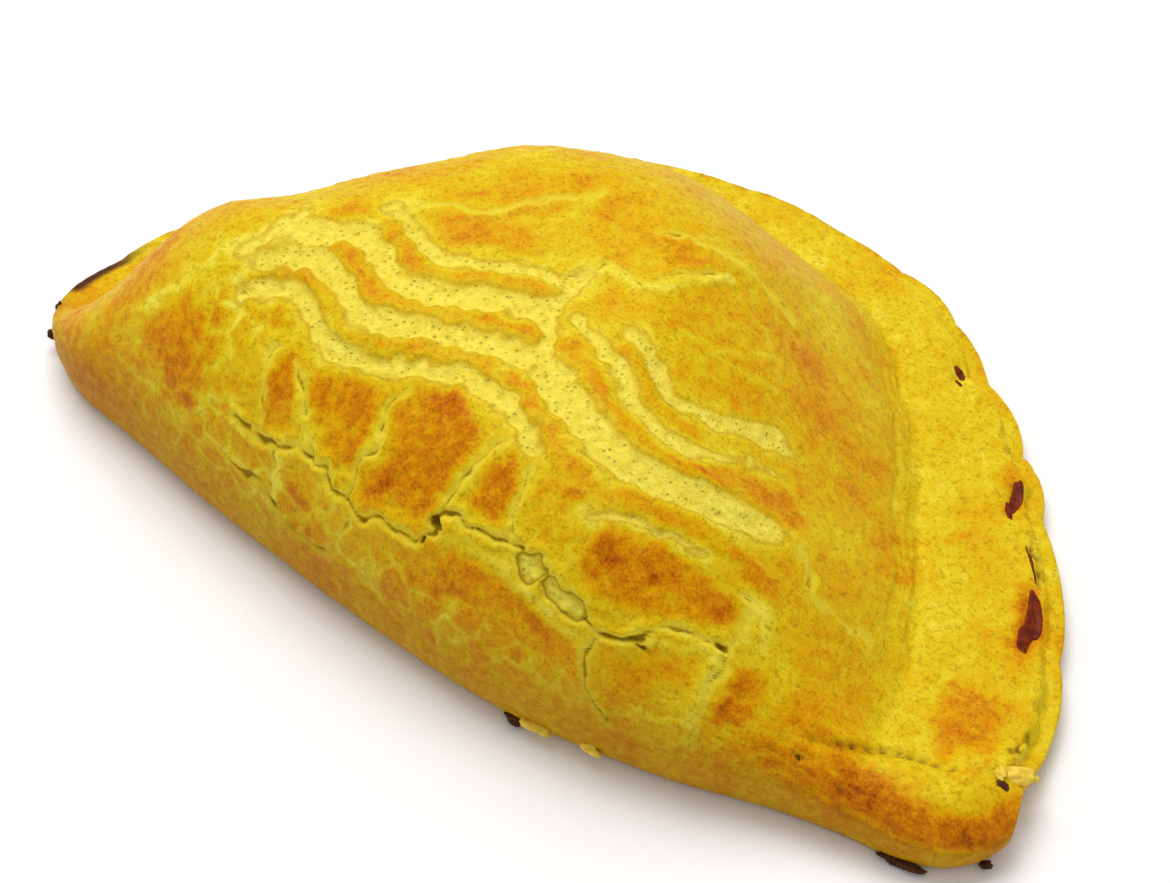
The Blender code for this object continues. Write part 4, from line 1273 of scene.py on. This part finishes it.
    def build(self, material: bpy.types.Material) -> tuple[bpy.types.Object, Placement]:
        """The crust as an object that fills the box of the solid that it stands for.

        Args:
            material: its finish, which reads the masks.

        Returns:
            The object, and the placement for whatever lies on it.
        """
        points, faces, masks = self.surface()
        place = Placement(points.min(axis=0), points.max(axis=0))
        crust = new_piece("baked_crust", place.metres(points), faces, material)
        for name, channels in self.stored:
            colours = np.ones((len(points), 4), np.float32)
            for index, channel in enumerate(channels):
                colours[:, index] = np.clip(masks[channel], 0, 1)
            layer = crust.data.color_attributes.new(name, "FLOAT_COLOR", "POINT")
            layer.data.foreach_set("color", colours.ravel())
        return crust, place


@dataclass(frozen=True)
class Leak:
    """A blob of burnt juice: where it lies on the pressed edge, its half length along the rim and half width."""

    angle: float
    to_rim: float
    half_length: float
    half_width: float
    lean: float = 0.0  # how far one end lies nearer the rim than the other, in mm


@dataclass(frozen=True)
class BurntJuice:
    """Meat juice that leaked between the presses and burnt: low blobs that follow the crust below them."""

    crust: Crust
    rings: int = 7
    spokes: int = 40
    thickness: float = 0.35
    sunk: float = 0.12
    raggedness: float = 0.2
    bulges: tuple[int, ...] = (2, 3, 5, 7)  # waves round a blob's border
    leaks: tuple[Leak, ...] = (
        Leak(62.6, 4.0, 1.4, 0.6, 0.4), Leak(61.2, 4.6, 1.1, 0.35, 0.3), Leak(43.6, 3.8, 3.0, 0.95, -0.5),
        Leak(41.6, 4.8, 1.7, 0.6, 0.2), Leak(26.8, 4.0, 4.4, 1.15, -0.3), Leak(24.0, 4.9, 2.4, 1.0, 0.1),
        Leak(33.8, 3.7, 3.2, 0.25, 0.2),
    )

    def blob(self, leak: Leak, seed: int) -> tuple[Array, Faces]:
        """One closed blob.

        Args:
            leak: where it lies, and its size.
            seed: the seed of its ragged border.

        Returns:
            Its points, in mm, and its faces.
        """
        spoke = 2 * math.pi * np.arange(self.spokes) / self.spokes
        draw = np.random.default_rng(seed)
        uneven = sum(
            draw.normal() / turns * np.sin(turns * spoke + draw.uniform(0, 2 * math.pi)) for turns in self.bulges
        )
        reach = 1 + self.raggedness * uneven
        shares = np.linspace(1, 0, self.rings + 1)[:-1]
        along = np.concatenate([share * reach * np.cos(spoke) for share in shares] + [np.zeros(1)])
        across = np.concatenate([share * reach * np.sin(spoke) for share in shares] + [np.zeros(1)])
        share = np.concatenate([np.full(self.spokes, value) for value in shares] + [np.zeros(1)])
        to_rim = leak.to_rim + across * leak.half_width + leak.lean * along
        turn = np.degrees(along * leak.half_length / self.crust.form.half_length)
        places = self.crust.outline.on_edge(leak.angle + turn, to_rim)
        height = self.crust.height_at(places)
        swell = self.thickness * min(1.0, leak.half_width) * np.sqrt(np.maximum(1 - share**2, 0))
        upper = np.column_stack([places, height + swell - self.sunk * (share == 1)])
        lower = np.column_stack([places, height - 2 * self.sunk])
        count, hub = len(places), len(places) - 1
        faces: Faces = []
        for ring in range(self.rings - 1):
            for k in range(self.spokes):
                near, far = ring * self.spokes + k, ring * self.spokes + (k + 1) % self.spokes
                faces.append((near, far, far + self.spokes, near + self.spokes))
        last = (self.rings - 1) * self.spokes
        faces += [(last + k, last + (k + 1) % self.spokes, hub) for k in range(self.spokes)]
        below = [tuple(corner + count for corner in face[::-1]) for face in faces]
        rim = [(k, k + count, (k + 1) % self.spokes + count, (k + 1) % self.spokes) for k in range(self.spokes)]
        return np.vstack([upper, lower]), faces + below + rim

    def build(self, place: Placement, material: bpy.types.Material) -> bpy.types.Object:
        """All the blobs as one piece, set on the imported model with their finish."""
        points, faces = joined([self.blob(leak, seed) for seed, leak in enumerate(self.leaks)])
        return new_piece("burnt_juice", place.metres(points), faces, material)


class Bake(Enum):
    """How far a loose crumb was baked."""

    PALE = "pastry_flakes"
    BURNT = "burnt_crumbs"


@dataclass(frozen=True)
class Crumb:
    """A loose crumb or flake: its middle, its three half sizes and its turn about the vertical in degrees."""

    middle: Triple
    half: Triple
    turn: float = 0.0


@dataclass(frozen=True)
class Crumbs:
    """Crumbs of one bake, stuck to the crust, as one piece of knobbly little bodies."""

    bake: Bake
    pieces: tuple[Crumb, ...]
    rows: int = 9
    columns: int = 16
    knobs: float = 0.22
    knob_lengths: Pair = (0.7, 2.2)  # shortest and longest wave over the crumb, on a ball of radius 1
    knob_waves: int = 24
    first_seed: int = 70

    def body(self, crumb: Crumb, seed: int) -> tuple[Array, Faces]:
        """One knobbly crumb.

        Args:
            crumb: its place, size and turn.
            seed: the seed of its knobs.

        Returns:
            Its points, in mm, and its faces.
        """
        tilt = np.repeat(math.pi * (np.arange(self.rows) + 1) / (self.rows + 1), self.columns)
        spin = np.tile(2 * math.pi * np.arange(self.columns) / self.columns, self.rows)
        ball = np.column_stack([np.sin(tilt) * np.cos(spin), np.sin(tilt) * np.sin(spin), np.cos(tilt)])
        ball = np.vstack([ball, (0, 0, 1), (0, 0, -1)])
        ball *= (1 + self.knobs * WaveField(seed, *self.knob_lengths, self.knob_waves).at(ball))[:, None]
        turn = math.radians(crumb.turn)
        x, y, z = (ball * crumb.half).T
        x, y = x * math.cos(turn) - y * math.sin(turn), x * math.sin(turn) + y * math.cos(turn)
        north, south = self.rows * self.columns, self.rows * self.columns + 1
        faces: Faces = []
        for row in range(self.rows - 1):
            for k in range(self.columns):
                near, far = row * self.columns + k, row * self.columns + (k + 1) % self.columns
                faces.append((near, near + self.columns, far + self.columns, far))
        last = (self.rows - 1) * self.columns
        for k in range(self.columns):
            after = (k + 1) % self.columns
            faces += [(north, k, after), (last + k, south, last + after)]
        return np.column_stack([x, y, z]) + crumb.middle, faces

    def build(self, place: Placement, material: bpy.types.Material) -> bpy.types.Object:
        """All the crumbs as one piece, none of them below the resting plane.

        Args:
            place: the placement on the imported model.
            material: their finish.

        Returns:
            The object.
        """
        points, faces = joined([self.body(crumb, seed) for seed, crumb in enumerate(self.pieces, self.first_seed)])
        points = place.metres(points)
        points[:, 2] = np.maximum(points[:, 2], 0)
        return new_piece(self.bake.value, points, faces, material)


class Sketch:
    """Shorthand for wiring shader nodes."""

    def __init__(self, tree: bpy.types.NodeTree) -> None:
        """Starts on a node tree."""
        self.tree = tree

    def add(
        self, kind: str, inputs: dict[str | int, Level | Tint] | None = None, **settings: object
    ) -> bpy.types.Node:
        """A node of a kind, with settings and with input values or links.

        Args:
            kind: the node's type without its ShaderNode prefix.
            inputs: value or output socket for each input, by name or index.
            settings: properties of the node.

        Returns:
            The node.
        """
        node = self.tree.nodes.new("ShaderNode" + kind)
        for name, value in settings.items():
            setattr(node, name, value)
        for name, value in (inputs or {}).items():
            if isinstance(value, Socket):
                self.tree.links.new(value, node.inputs[name])
            else:
                node.inputs[name].default_value = value
        return node

    def math(self, operation: str, first: Level, second: Level = 0.0) -> Socket:
        """A sum on values or sockets."""
        return self.add("Math", {0: first, 1: second}, operation=operation).outputs[0]

    def plus(self, first: Level, second: Level) -> Socket:
        """Two values added."""
        return self.math("ADD", first, second)

    def minus(self, first: Level, second: Level) -> Socket:
        """The second value taken from the first."""
        return self.math("SUBTRACT", first, second)

    def times(self, first: Level, second: Level) -> Socket:
        """Two values multiplied."""
        return self.math("MULTIPLY", first, second)

    def most(self, first: Level, second: Level) -> Socket:
        """The larger of two values."""
        return self.math("MAXIMUM", first, second)

    def mix(self, factor: Level, first: Tint, second: Tint) -> Socket:
        """Two colours mixed by a factor."""
        return self.add("Mix", {0: factor, 6: first, 7: second}, data_type="RGBA").outputs[2]

    def stretch(self, value: Level, low: float, high: float, start: float = 0.0, end: float = 1.0) -> Socket:
        """A value's range drawn onto another, and held there."""
        inputs = {"Value": value, "From Min": low, "From Max": high, "To Min": start, "To Max": end}
        return self.add("MapRange", inputs).outputs[0]

    def ramp(self, factor: Level, stops: tuple[tuple[float, Colour], ...]) -> Socket:
        """Colours along a factor.

        Args:
            factor: a value from 0 to 1.
            stops: the place of each stop, and its colour as screens show it.

        Returns:
            The colour.
        """
        node = self.add("ValToRGB", {0: factor})
        elements = node.color_ramp.elements
        for index, (place, colour) in enumerate(stops):
            element = elements[index] if index < 2 else elements.new(place)
            element.position = place
            element.color = screen(colour)
        return node.outputs[0]

    def noise(self, scale: float, detail: float, coordinates: Socket, rough: float = 0.55) -> Socket:
        """Soft noise between 0 and 1."""
        inputs = {"Vector": coordinates, "Scale": scale, "Detail": detail, "Roughness": rough}
        return self.add("TexNoise", inputs).outputs[0]

    def coded(self, value: Level, wander: Level) -> Socket:
        """The distance in mm that a vertex value stands for, plus a small wander."""
        return self.plus(self.times(self.minus(value, 0.5), CODED), wander)


def screen(colour: Colour) -> tuple[float, float, float, float]:
    """A colour as the shader's linear values.

    Args:
        colour: the colour as screens show it, 0 to 255.

    Returns:
        Red, green, blue and full opacity, 0 to 1.
    """
    parts = [channel / 255 for channel in colour]
    linear = [part / 12.92 if part <= 0.04045 else ((part + 0.055) / 1.055) ** 2.4 for part in parts]
    return (*linear, 1.0)


@dataclass(frozen=True)
class DoughGrain:
    """Shader group: the fine grain, pits and mottling of baked dough."""

    name: str = "dough_grain"
    fine: float = 2600.0
    fine_detail: float = 3
    coarse: float = 750.0
    coarse_detail: float = 4
    coarse_rough: float = 0.6
    coarse_share: float = 0.6  # of the coarse noise in the height
    pit_scale: float = 1150.0
    pit_range: Pair = (0.28, 0.05)
    fleck_scale: float = 1300.0
    fleck_detail: float = 2
    fleck_rough: float = 0.7
    fleck_range: Pair = (0.52, 0.68)
    mottle_range: Pair = (0.3, 0.7)
    speckle_range: Pair = (0.32, 0.68)

    def build(self) -> bpy.types.ShaderNodeTree:
        """The group.

        Returns:
            The group, with a size factor in, and height, pits, mottling, speckle and flecks out, each 0 to 1.
        """
        group = bpy.data.node_groups.new(self.name, "ShaderNodeTree")
        size = group.interface.new_socket("Size", in_out="INPUT", socket_type="NodeSocketFloat")
        size.default_value = 1.0
        draw = Sketch(group)
        given = group.nodes.new("NodeGroupInput")
        result = group.nodes.new("NodeGroupOutput")
        place = draw.add("TexCoord").outputs["Object"]
        scaled = draw.add("VectorMath", {0: place, "Scale": given.outputs["Size"]}, operation="SCALE").outputs[0]
        fine = draw.noise(self.fine, self.fine_detail, scaled)
        coarse = draw.noise(self.coarse, self.coarse_detail, scaled, self.coarse_rough)
        flecks = draw.noise(self.fleck_scale, self.fleck_detail, scaled, self.fleck_rough)
        cells = draw.add("TexVoronoi", {"Vector": scaled, "Scale": self.pit_scale})
        outputs = {
            "Height": draw.plus(draw.times(coarse, self.coarse_share), draw.times(fine, 1 - self.coarse_share)),
            "Pits": draw.stretch(cells.outputs["Distance"], *self.pit_range),
            "Mottle": draw.stretch(coarse, *self.mottle_range),
            "Speckle": draw.stretch(fine, *self.speckle_range),
            "Flecks": draw.stretch(flecks, *self.fleck_range),
        }
        for output, value in outputs.items():
            group.interface.new_socket(output, in_out="OUTPUT", socket_type="NodeSocketFloat")
            group.links.new(value, result.inputs[output])
        return group


@dataclass(frozen=True)
class GoldenCrustFinish:
    """Egg-glazed shortcrust: golden yellow, browned plates, bare scored dough, crumbly crack floors."""

    grain: bpy.types.ShaderNodeTree
    name: str = "golden_crust_baked"
    golden: tuple[tuple[float, Colour], ...] = (
        (0.0, (238, 220, 72)), (0.22, (228, 201, 34)), (0.36, (221, 187, 16)), (0.5, (221, 171, 5)),
        (0.64, (218, 148, 1)), (0.78, (203, 119, 1)), (0.92, (178, 88, 1)), (1.0, (130, 56, 2)),
    )
    fleck: Colour = (150, 108, 6)
    flecked: float = 0.4
    bare_light: Colour = (250, 234, 98)
    bare_dark: Colour = (230, 203, 54)
    band_line: Colour = (186, 136, 8)
    speck: Colour = (186, 164, 50)
    pocket_light: Colour = (252, 238, 88)
    pocket_dark: Colour = (212, 184, 42)
    # crumb of the crack floors, darkened further as painted shade in the cracks, holes and round the pockets
    crack_floor_and_shade: Colour = (128, 98, 14)
    crack_rim: Colour = (232, 208, 58)
    scorched: Colour = (86, 46, 20)
    # the colour of the flat base, also painted low on the fold as shade
    underside_and_fold_shade: Colour = (156, 104, 14)
    mottled: float = 0.22  # how much the mottling and the speckle change the browning, and what they are set off by
    speckled: float = 0.16
    set_off: float = 0.19
    wander: float = 0.28  # how far the borders of bands and pockets wander, in mm
    bare_from: Pair = (0.3, -0.4)  # distances from a band's edge between which the bare dough shows
    bareness: float = 0.85
    speck_pits: float = 0.22
    speck_flecks: float = 0.35
    line_place: float = 0.15
    line_width: float = 0.5
    line_strength: float = 0.5
    pocket_from: Pair = (0.1, -0.15)
    pocket_light_from: Pair = (-0.2, -0.9)
    pocket_speckle: float = 0.5
    pocket_edge: float = 0.25
    pocket_edge_strength: float = 0.7
    rim_outside: Pair = (0.75, 0.3)
    rim_inside: Pair = (0.0, 0.2)
    rim_strength: float = 0.6
    crack_from: Pair = (0.1, -0.15)
    crack_strength: float = 0.8
    base_least: float = 0.6  # how strongly the colour of the base shows in its palest mottles
    roughness: Pair = (0.5, 0.75)  # of glazed crust and of bare dough
    uneven_roughness: float = 0.12
    glaze: float = 0.02
    glaze_roughness: float = 0.4
    gloss: float = 0.05
    bump_distance: float = 0.0004
    bump_strength: float = 0.8
    bump_skin: Pair = (0.55, 1.0)  # height of the grain on glazed crust and on bare dough
    bump_pits: float = 0.8

    def build(self) -> bpy.types.Material:
        """The material.

        Returns:
            The material, which reads the masks that the crust's vertices carry.
        """
        material = bpy.data.materials.new(self.name)
        material.use_nodes = True
        draw = Sketch(material.node_tree)
        bake = draw.add("SeparateColor", {0: draw.add("Attribute", attribute_name="bake").outputs["Color"]})
        torn = draw.add("SeparateColor", {0: draw.add("Attribute", attribute_name="torn").outputs["Color"]})
        brown, band, crack = bake.outputs
        scorch, under, pocket = torn.outputs
        grain = draw.add("Group", node_tree=self.grain)
        mottle = grain.outputs["Mottle"]
        wander = draw.times(draw.minus(mottle, 0.5), self.wander)
        off_band = draw.coded(band, wander)
        off_crack = draw.coded(crack, draw.times(wander, 0.5))
        off_pocket = draw.coded(pocket, wander)
        bare_mask = draw.stretch(off_band, *self.bare_from)
        pocket_mask = draw.stretch(off_pocket, *self.pocket_from)
        crack_mask = draw.stretch(off_crack, *self.crack_from)
        colour = self.baked(draw, grain, brown)
        colour = self.scored(draw, grain, colour, off_band, bare_mask)
        colour = self.torn_open(draw, grain, colour, off_pocket, pocket_mask)
        # Cracks: a pale raised rim on both sides of a thin dark line, and a dark line round the pockets; the dark
        # lines are partly the crumb of the crack floor and partly painted shade in the recess.
        near = draw.math("MINIMUM", off_crack, off_pocket)
        rim = draw.times(draw.stretch(near, *self.rim_outside), draw.stretch(near, *self.rim_inside))
        colour = draw.mix(draw.times(rim, self.rim_strength), colour, screen(self.crack_rim))
        colour = draw.mix(draw.times(crack_mask, self.crack_strength), colour, screen(self.crack_floor_and_shade))
        away = draw.math("ABSOLUTE", off_pocket)
        edge = draw.stretch(away, self.pocket_edge, 0.0, 0.0, self.pocket_edge_strength)
        colour = draw.mix(edge, colour, screen(self.crack_floor_and_shade))
        # Below the crust and, as painted shade, low on the fold: the underside's colour; then the burnt places.
        low = draw.times(under, draw.stretch(mottle, 0, 1, self.base_least, 1.0))
        colour = draw.mix(low, colour, screen(self.underside_and_fold_shade))
        colour = draw.mix(scorch, colour, screen(self.scorched))
        dull = draw.most(bare_mask, draw.most(crack_mask, pocket_mask))
        self.wire(draw, material.node_tree.nodes["Principled BSDF"], colour, dull, grain)
        return material

    def baked(self, draw: Sketch, grain: bpy.types.Node, brown: Socket) -> Socket:
        """The glazed crust's colour.

        Args:
            draw: the sketch of the material's nodes.
            grain: the grain group in this material.
            brown: the browning.

        Returns:
            The colour.
        """
        mottled = draw.times(grain.outputs["Mottle"], self.mottled)
        uneven = draw.plus(mottled, draw.times(grain.outputs["Speckle"], self.speckled))
        colour = draw.ramp(draw.minus(draw.plus(brown, uneven), self.set_off), self.golden)
        return draw.mix(draw.times(grain.outputs["Flecks"], self.flecked), colour, screen(self.fleck))

    def scored(self, draw: Sketch, grain: bpy.types.Node, colour: Socket, off_band: Socket, mask: Socket) -> Socket:
        """Lays the comb's bare bands over the crust, with a thin darker line where the glaze ends.

        Args:
            draw: the sketch of the material's nodes.
            grain: the grain group in this material.
            colour: the crust's colour.
            off_band: distance from the nearest band's edge.
            mask: how bare each place is.

        Returns:
            The colour.
        """
        bare = draw.mix(grain.outputs["Mottle"], screen(self.bare_dark), screen(self.bare_light))
        pits = draw.times(grain.outputs["Pits"], self.speck_pits)
        specks = draw.most(pits, draw.times(grain.outputs["Flecks"], self.speck_flecks))
        bare = draw.mix(specks, bare, screen(self.speck))
        colour = draw.mix(draw.times(mask, self.bareness), colour, bare)
        away = draw.math("ABSOLUTE", draw.minus(off_band, self.line_place))
        line = draw.stretch(away, self.line_width, 0.0, 0.0, self.line_strength)
        return draw.mix(line, colour, screen(self.band_line))

    def torn_open(
        self, draw: Sketch, grain: bpy.types.Node, colour: Socket, off_pocket: Socket, mask: Socket
    ) -> Socket:
        """Lays the pockets over the crust: torn open onto pale crumb, darker at their borders.

        Args:
            draw: the sketch of the material's nodes.
            grain: the grain group in this material.
            colour: the crust's colour.
            off_pocket: distance from the nearest pocket's edge.
            mask: how fully each place is torn open.

        Returns:
            The colour.
        """
        dark = screen(self.pocket_dark)
        crumb = draw.mix(draw.stretch(off_pocket, *self.pocket_light_from), dark, screen(self.pocket_light))
        speckle = draw.minus(1.0, grain.outputs["Speckle"])
        crumb = draw.mix(draw.times(speckle, self.pocket_speckle), crumb, dark)
        return draw.mix(mask, colour, crumb)

    def wire(
        self, draw: Sketch, surface: bpy.types.Node, colour: Socket, dull: Socket, grain: bpy.types.Node
    ) -> None:
        """Colour, gloss and grain into the surface's own sockets.

        Args:
            draw: the sketch of the material's nodes.
            surface: the surface shader.
            colour: the colour.
            dull: how bare and dull each place is.
            grain: the grain group in this material.
        """
        links = draw.tree.links
        links.new(colour, surface.inputs["Base Color"])
        uneven = draw.times(draw.minus(grain.outputs["Mottle"], 0.5), self.uneven_roughness)
        rough = draw.stretch(dull, 0, 1, *self.roughness)
        links.new(draw.plus(rough, uneven), surface.inputs["Roughness"])
        links.new(draw.stretch(dull, 0, 1, self.glaze, 0.0), surface.inputs["Coat Weight"])
        surface.inputs["Coat Roughness"].default_value = self.glaze_roughness
        surface.inputs["Specular IOR Level"].default_value = self.gloss
        pitted = draw.times(draw.times(grain.outputs["Pits"], dull), -self.bump_pits)
        skin = draw.times(grain.outputs["Height"], draw.stretch(dull, 0, 1, *self.bump_skin))
        height = {"Height": draw.plus(skin, pitted), "Distance": self.bump_distance, "Strength": self.bump_strength}
        links.new(draw.add("Bump", height).outputs[0], surface.inputs["Normal"])


@dataclass(frozen=True)
class CrumbFinish:
    """The finish of loose crumbs and of burnt juice: two colours mottled together, with the dough's grain."""

    grain: bpy.types.ShaderNodeTree
    name: str
    light: Colour
    dark: Colour
    roughness: float
    glaze: float = 0.0
    glaze_roughness: float = 0.15
    gloss: float = 0.12
    uneven_roughness: float = 0.08
    grain_size: float = 1.5
    bump_distance: float = 0.0002

    def build(self) -> bpy.types.Material:
        """The material.

        Returns:
            The material.
        """
        material = bpy.data.materials.new(self.name)
        material.use_nodes = True
        draw = Sketch(material.node_tree)
        surface = material.node_tree.nodes["Principled BSDF"]
        grain = draw.add("Group", {"Size": self.grain_size}, node_tree=self.grain)
        links = material.node_tree.links
        colour = draw.mix(grain.outputs["Mottle"], screen(self.dark), screen(self.light))
        links.new(colour, surface.inputs["Base Color"])
        smoothest, roughest = self.roughness - self.uneven_roughness, self.roughness + self.uneven_roughness
        links.new(draw.stretch(grain.outputs["Speckle"], 0, 1, smoothest, roughest), surface.inputs["Roughness"])
        surface.inputs["Coat Weight"].default_value = self.glaze
        surface.inputs["Coat Roughness"].default_value = self.glaze_roughness
        surface.inputs["Specular IOR Level"].default_value = self.gloss
        bumps = draw.add("Bump", {"Height": grain.outputs["Height"], "Distance": self.bump_distance})
        links.new(bumps.outputs[0], surface.inputs["Normal"])
        return material


@dataclass(frozen=True)
class Studio:
    """Plain pale floor, soft light from above and behind, and the camera."""

    target: Triple = (1.5, -10.75, 10.0)
    azimuth: float = 36.46
    elevation: float = 48.17
    distance: float = 365.18
    lens: float = 87.42
    clip_start: float = 0.01
    floor_size: float = 6.0
    floor_shade: Colour = (250, 250, 250)
    floor_roughness: float = 0.8
    floor_below: float = 0.0002
    sky: float = 0.55
    key_power: float = 5.8
    key_size: float = 0.6
    key_from: Triple = (-0.12, 0.36, 0.92)  # right, behind and above, as the camera sees it
    key_distance: float = 0.9

    def axes(self) -> tuple[Vector, Vector, Vector]:
        """The view's directions.

        Returns:
            To the right, away along the floor, and back to the camera.
        """
        turn, tilt = math.radians(self.azimuth), math.radians(self.elevation)
        right = Vector((math.cos(turn), math.sin(turn), 0))
        away = Vector((-math.sin(turn), math.cos(turn), 0))
        back = -away * math.cos(tilt) + Vector((0, 0, math.sin(tilt)))
        return right, away, back

    def light(self) -> None:
        """Makes the soft key light and the pale sky."""
        right, away, _ = self.axes()
        key = bpy.data.objects.new("key_light", bpy.data.lights.new("key_light", "AREA"))
        key.data.energy = self.key_power
        key.data.size = self.key_size
        side, behind, above = self.key_from
        way = (right * side + away * behind + Vector((0, 0, above))).normalized()
        key.location = Vector(self.target) * MM + way * self.key_distance
        key.rotation_euler = (-way).to_track_quat("-Z", "Y").to_euler()
        bpy.context.scene.collection.objects.link(key)
        world = bpy.data.worlds.new("pale_sky")
        world.use_nodes = True
        sky = world.node_tree.nodes["Background"].inputs
        sky["Strength"].default_value = self.sky
        sky["Color"].default_value = (1, 1, 1, 1)
        bpy.context.scene.world = world

    def floor(self) -> bpy.types.Object:
        """Makes the floor.

        Returns:
            The object.
        """
        half = self.floor_size / 2
        material = bpy.data.materials.new("pale_floor")
        material.use_nodes = True
        surface = material.node_tree.nodes["Principled BSDF"].inputs
        surface["Base Color"].default_value = screen(self.floor_shade)
        surface["Roughness"].default_value = self.floor_roughness
        corners = np.array([(-half, -half, 0), (half, -half, 0), (half, half, 0), (-half, half, 0)])
        floor = new_piece("floor", corners, [(0, 1, 2, 3)], material)
        floor.location.z = -self.floor_below
        return floor

    def build(self) -> None:
        """Makes the camera, the light and the floor."""
        scene = bpy.context.scene
        scene.view_settings.view_transform = "Standard"
        back = self.axes()[2]
        camera = bpy.data.objects.new("camera", bpy.data.cameras.new("camera"))
        camera.data.lens = self.lens
        camera.data.clip_start = self.clip_start
        camera.location = (Vector(self.target) + back * self.distance) * MM
        camera.rotation_euler = (-back).to_track_quat("-Z", "Y").to_euler()
        scene.collection.objects.link(camera)
        scene.camera = camera
        self.light()
        self.floor()


# Pale flakes at the right tip and along the foot of the fold, and burnt crumbs below the edge and at the tips.
PALE_FLAKES = (
    Crumb((72.6, -22.1, 6.5), (2.7, 0.9, 0.6), 36), Crumb((73.6, -20.6, 5.6), (1.3, 0.7, 0.5), 10),
    Crumb((71.2, -23.3, 7.2), (1.2, 0.6, 0.4), -30), Crumb((20.4, -47.6, 2.4), (2.2, 0.8, 0.5), 4),
    Crumb((28.4, -46.6, 2.6), (1.4, 0.7, 0.6), 8),
)
BURNT_CRUMBS = (
    Crumb((17.6, -47.3, 1.0), (1.5, 0.7, 0.5), -2), Crumb((66.4, -36.9, 0.6), (3.0, 0.7, 0.5), 12),
    Crumb((74.8, -31.2, 0.6), (0.9, 0.5, 0.5), 50), Crumb((72.0, -24.6, 6.9), (0.9, 0.6, 0.4), 20),
    Crumb((-73.4, -31.2, 3.4), (0.7, 0.9, 1.3), 10), Crumb((-72.2, -34.2, 2.2), (0.6, 0.5, 0.7), 30),
)


def main() -> None:
    """Loads the frame, dresses the pie and sets the studio."""
    logging.basicConfig(level=logging.INFO, format="%(name)s: %(message)s")
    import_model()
    grain = DoughGrain().build()
    crust = Crust(
        Outline(), CrustForm(), CombScores(), Cracks(), Crazing(), PressedEdge(), DomeFoot(), Baking(), Skin()
    )
    baked, place = crust.build(GoldenCrustFinish(grain).build())
    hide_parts(NODE)
    juice = CrumbFinish(grain, "burnt_juice", (142, 50, 0), (74, 14, 0), 0.5, glaze=0.04)
    flake = CrumbFinish(grain, "flaked_crust", (250, 224, 92), (228, 180, 44), 0.6)
    burnt = CrumbFinish(grain, "burnt_crust", (98, 54, 22), (54, 27, 12), 0.6)
    pieces = [
        baked,
        BurntJuice(crust).build(place, juice.build()),
        Crumbs(Bake.PALE, PALE_FLAKES).build(place, flake.build()),
        Crumbs(Bake.BURNT, BURNT_CRUMBS).build(place, burnt.build()),
    ]
    for piece in pieces:
        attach(piece, BODY)
        LOG.info("%s: %d faces", piece.name, len(piece.data.polygons))
    Studio().build()


if __name__ == "__main__":
    main()
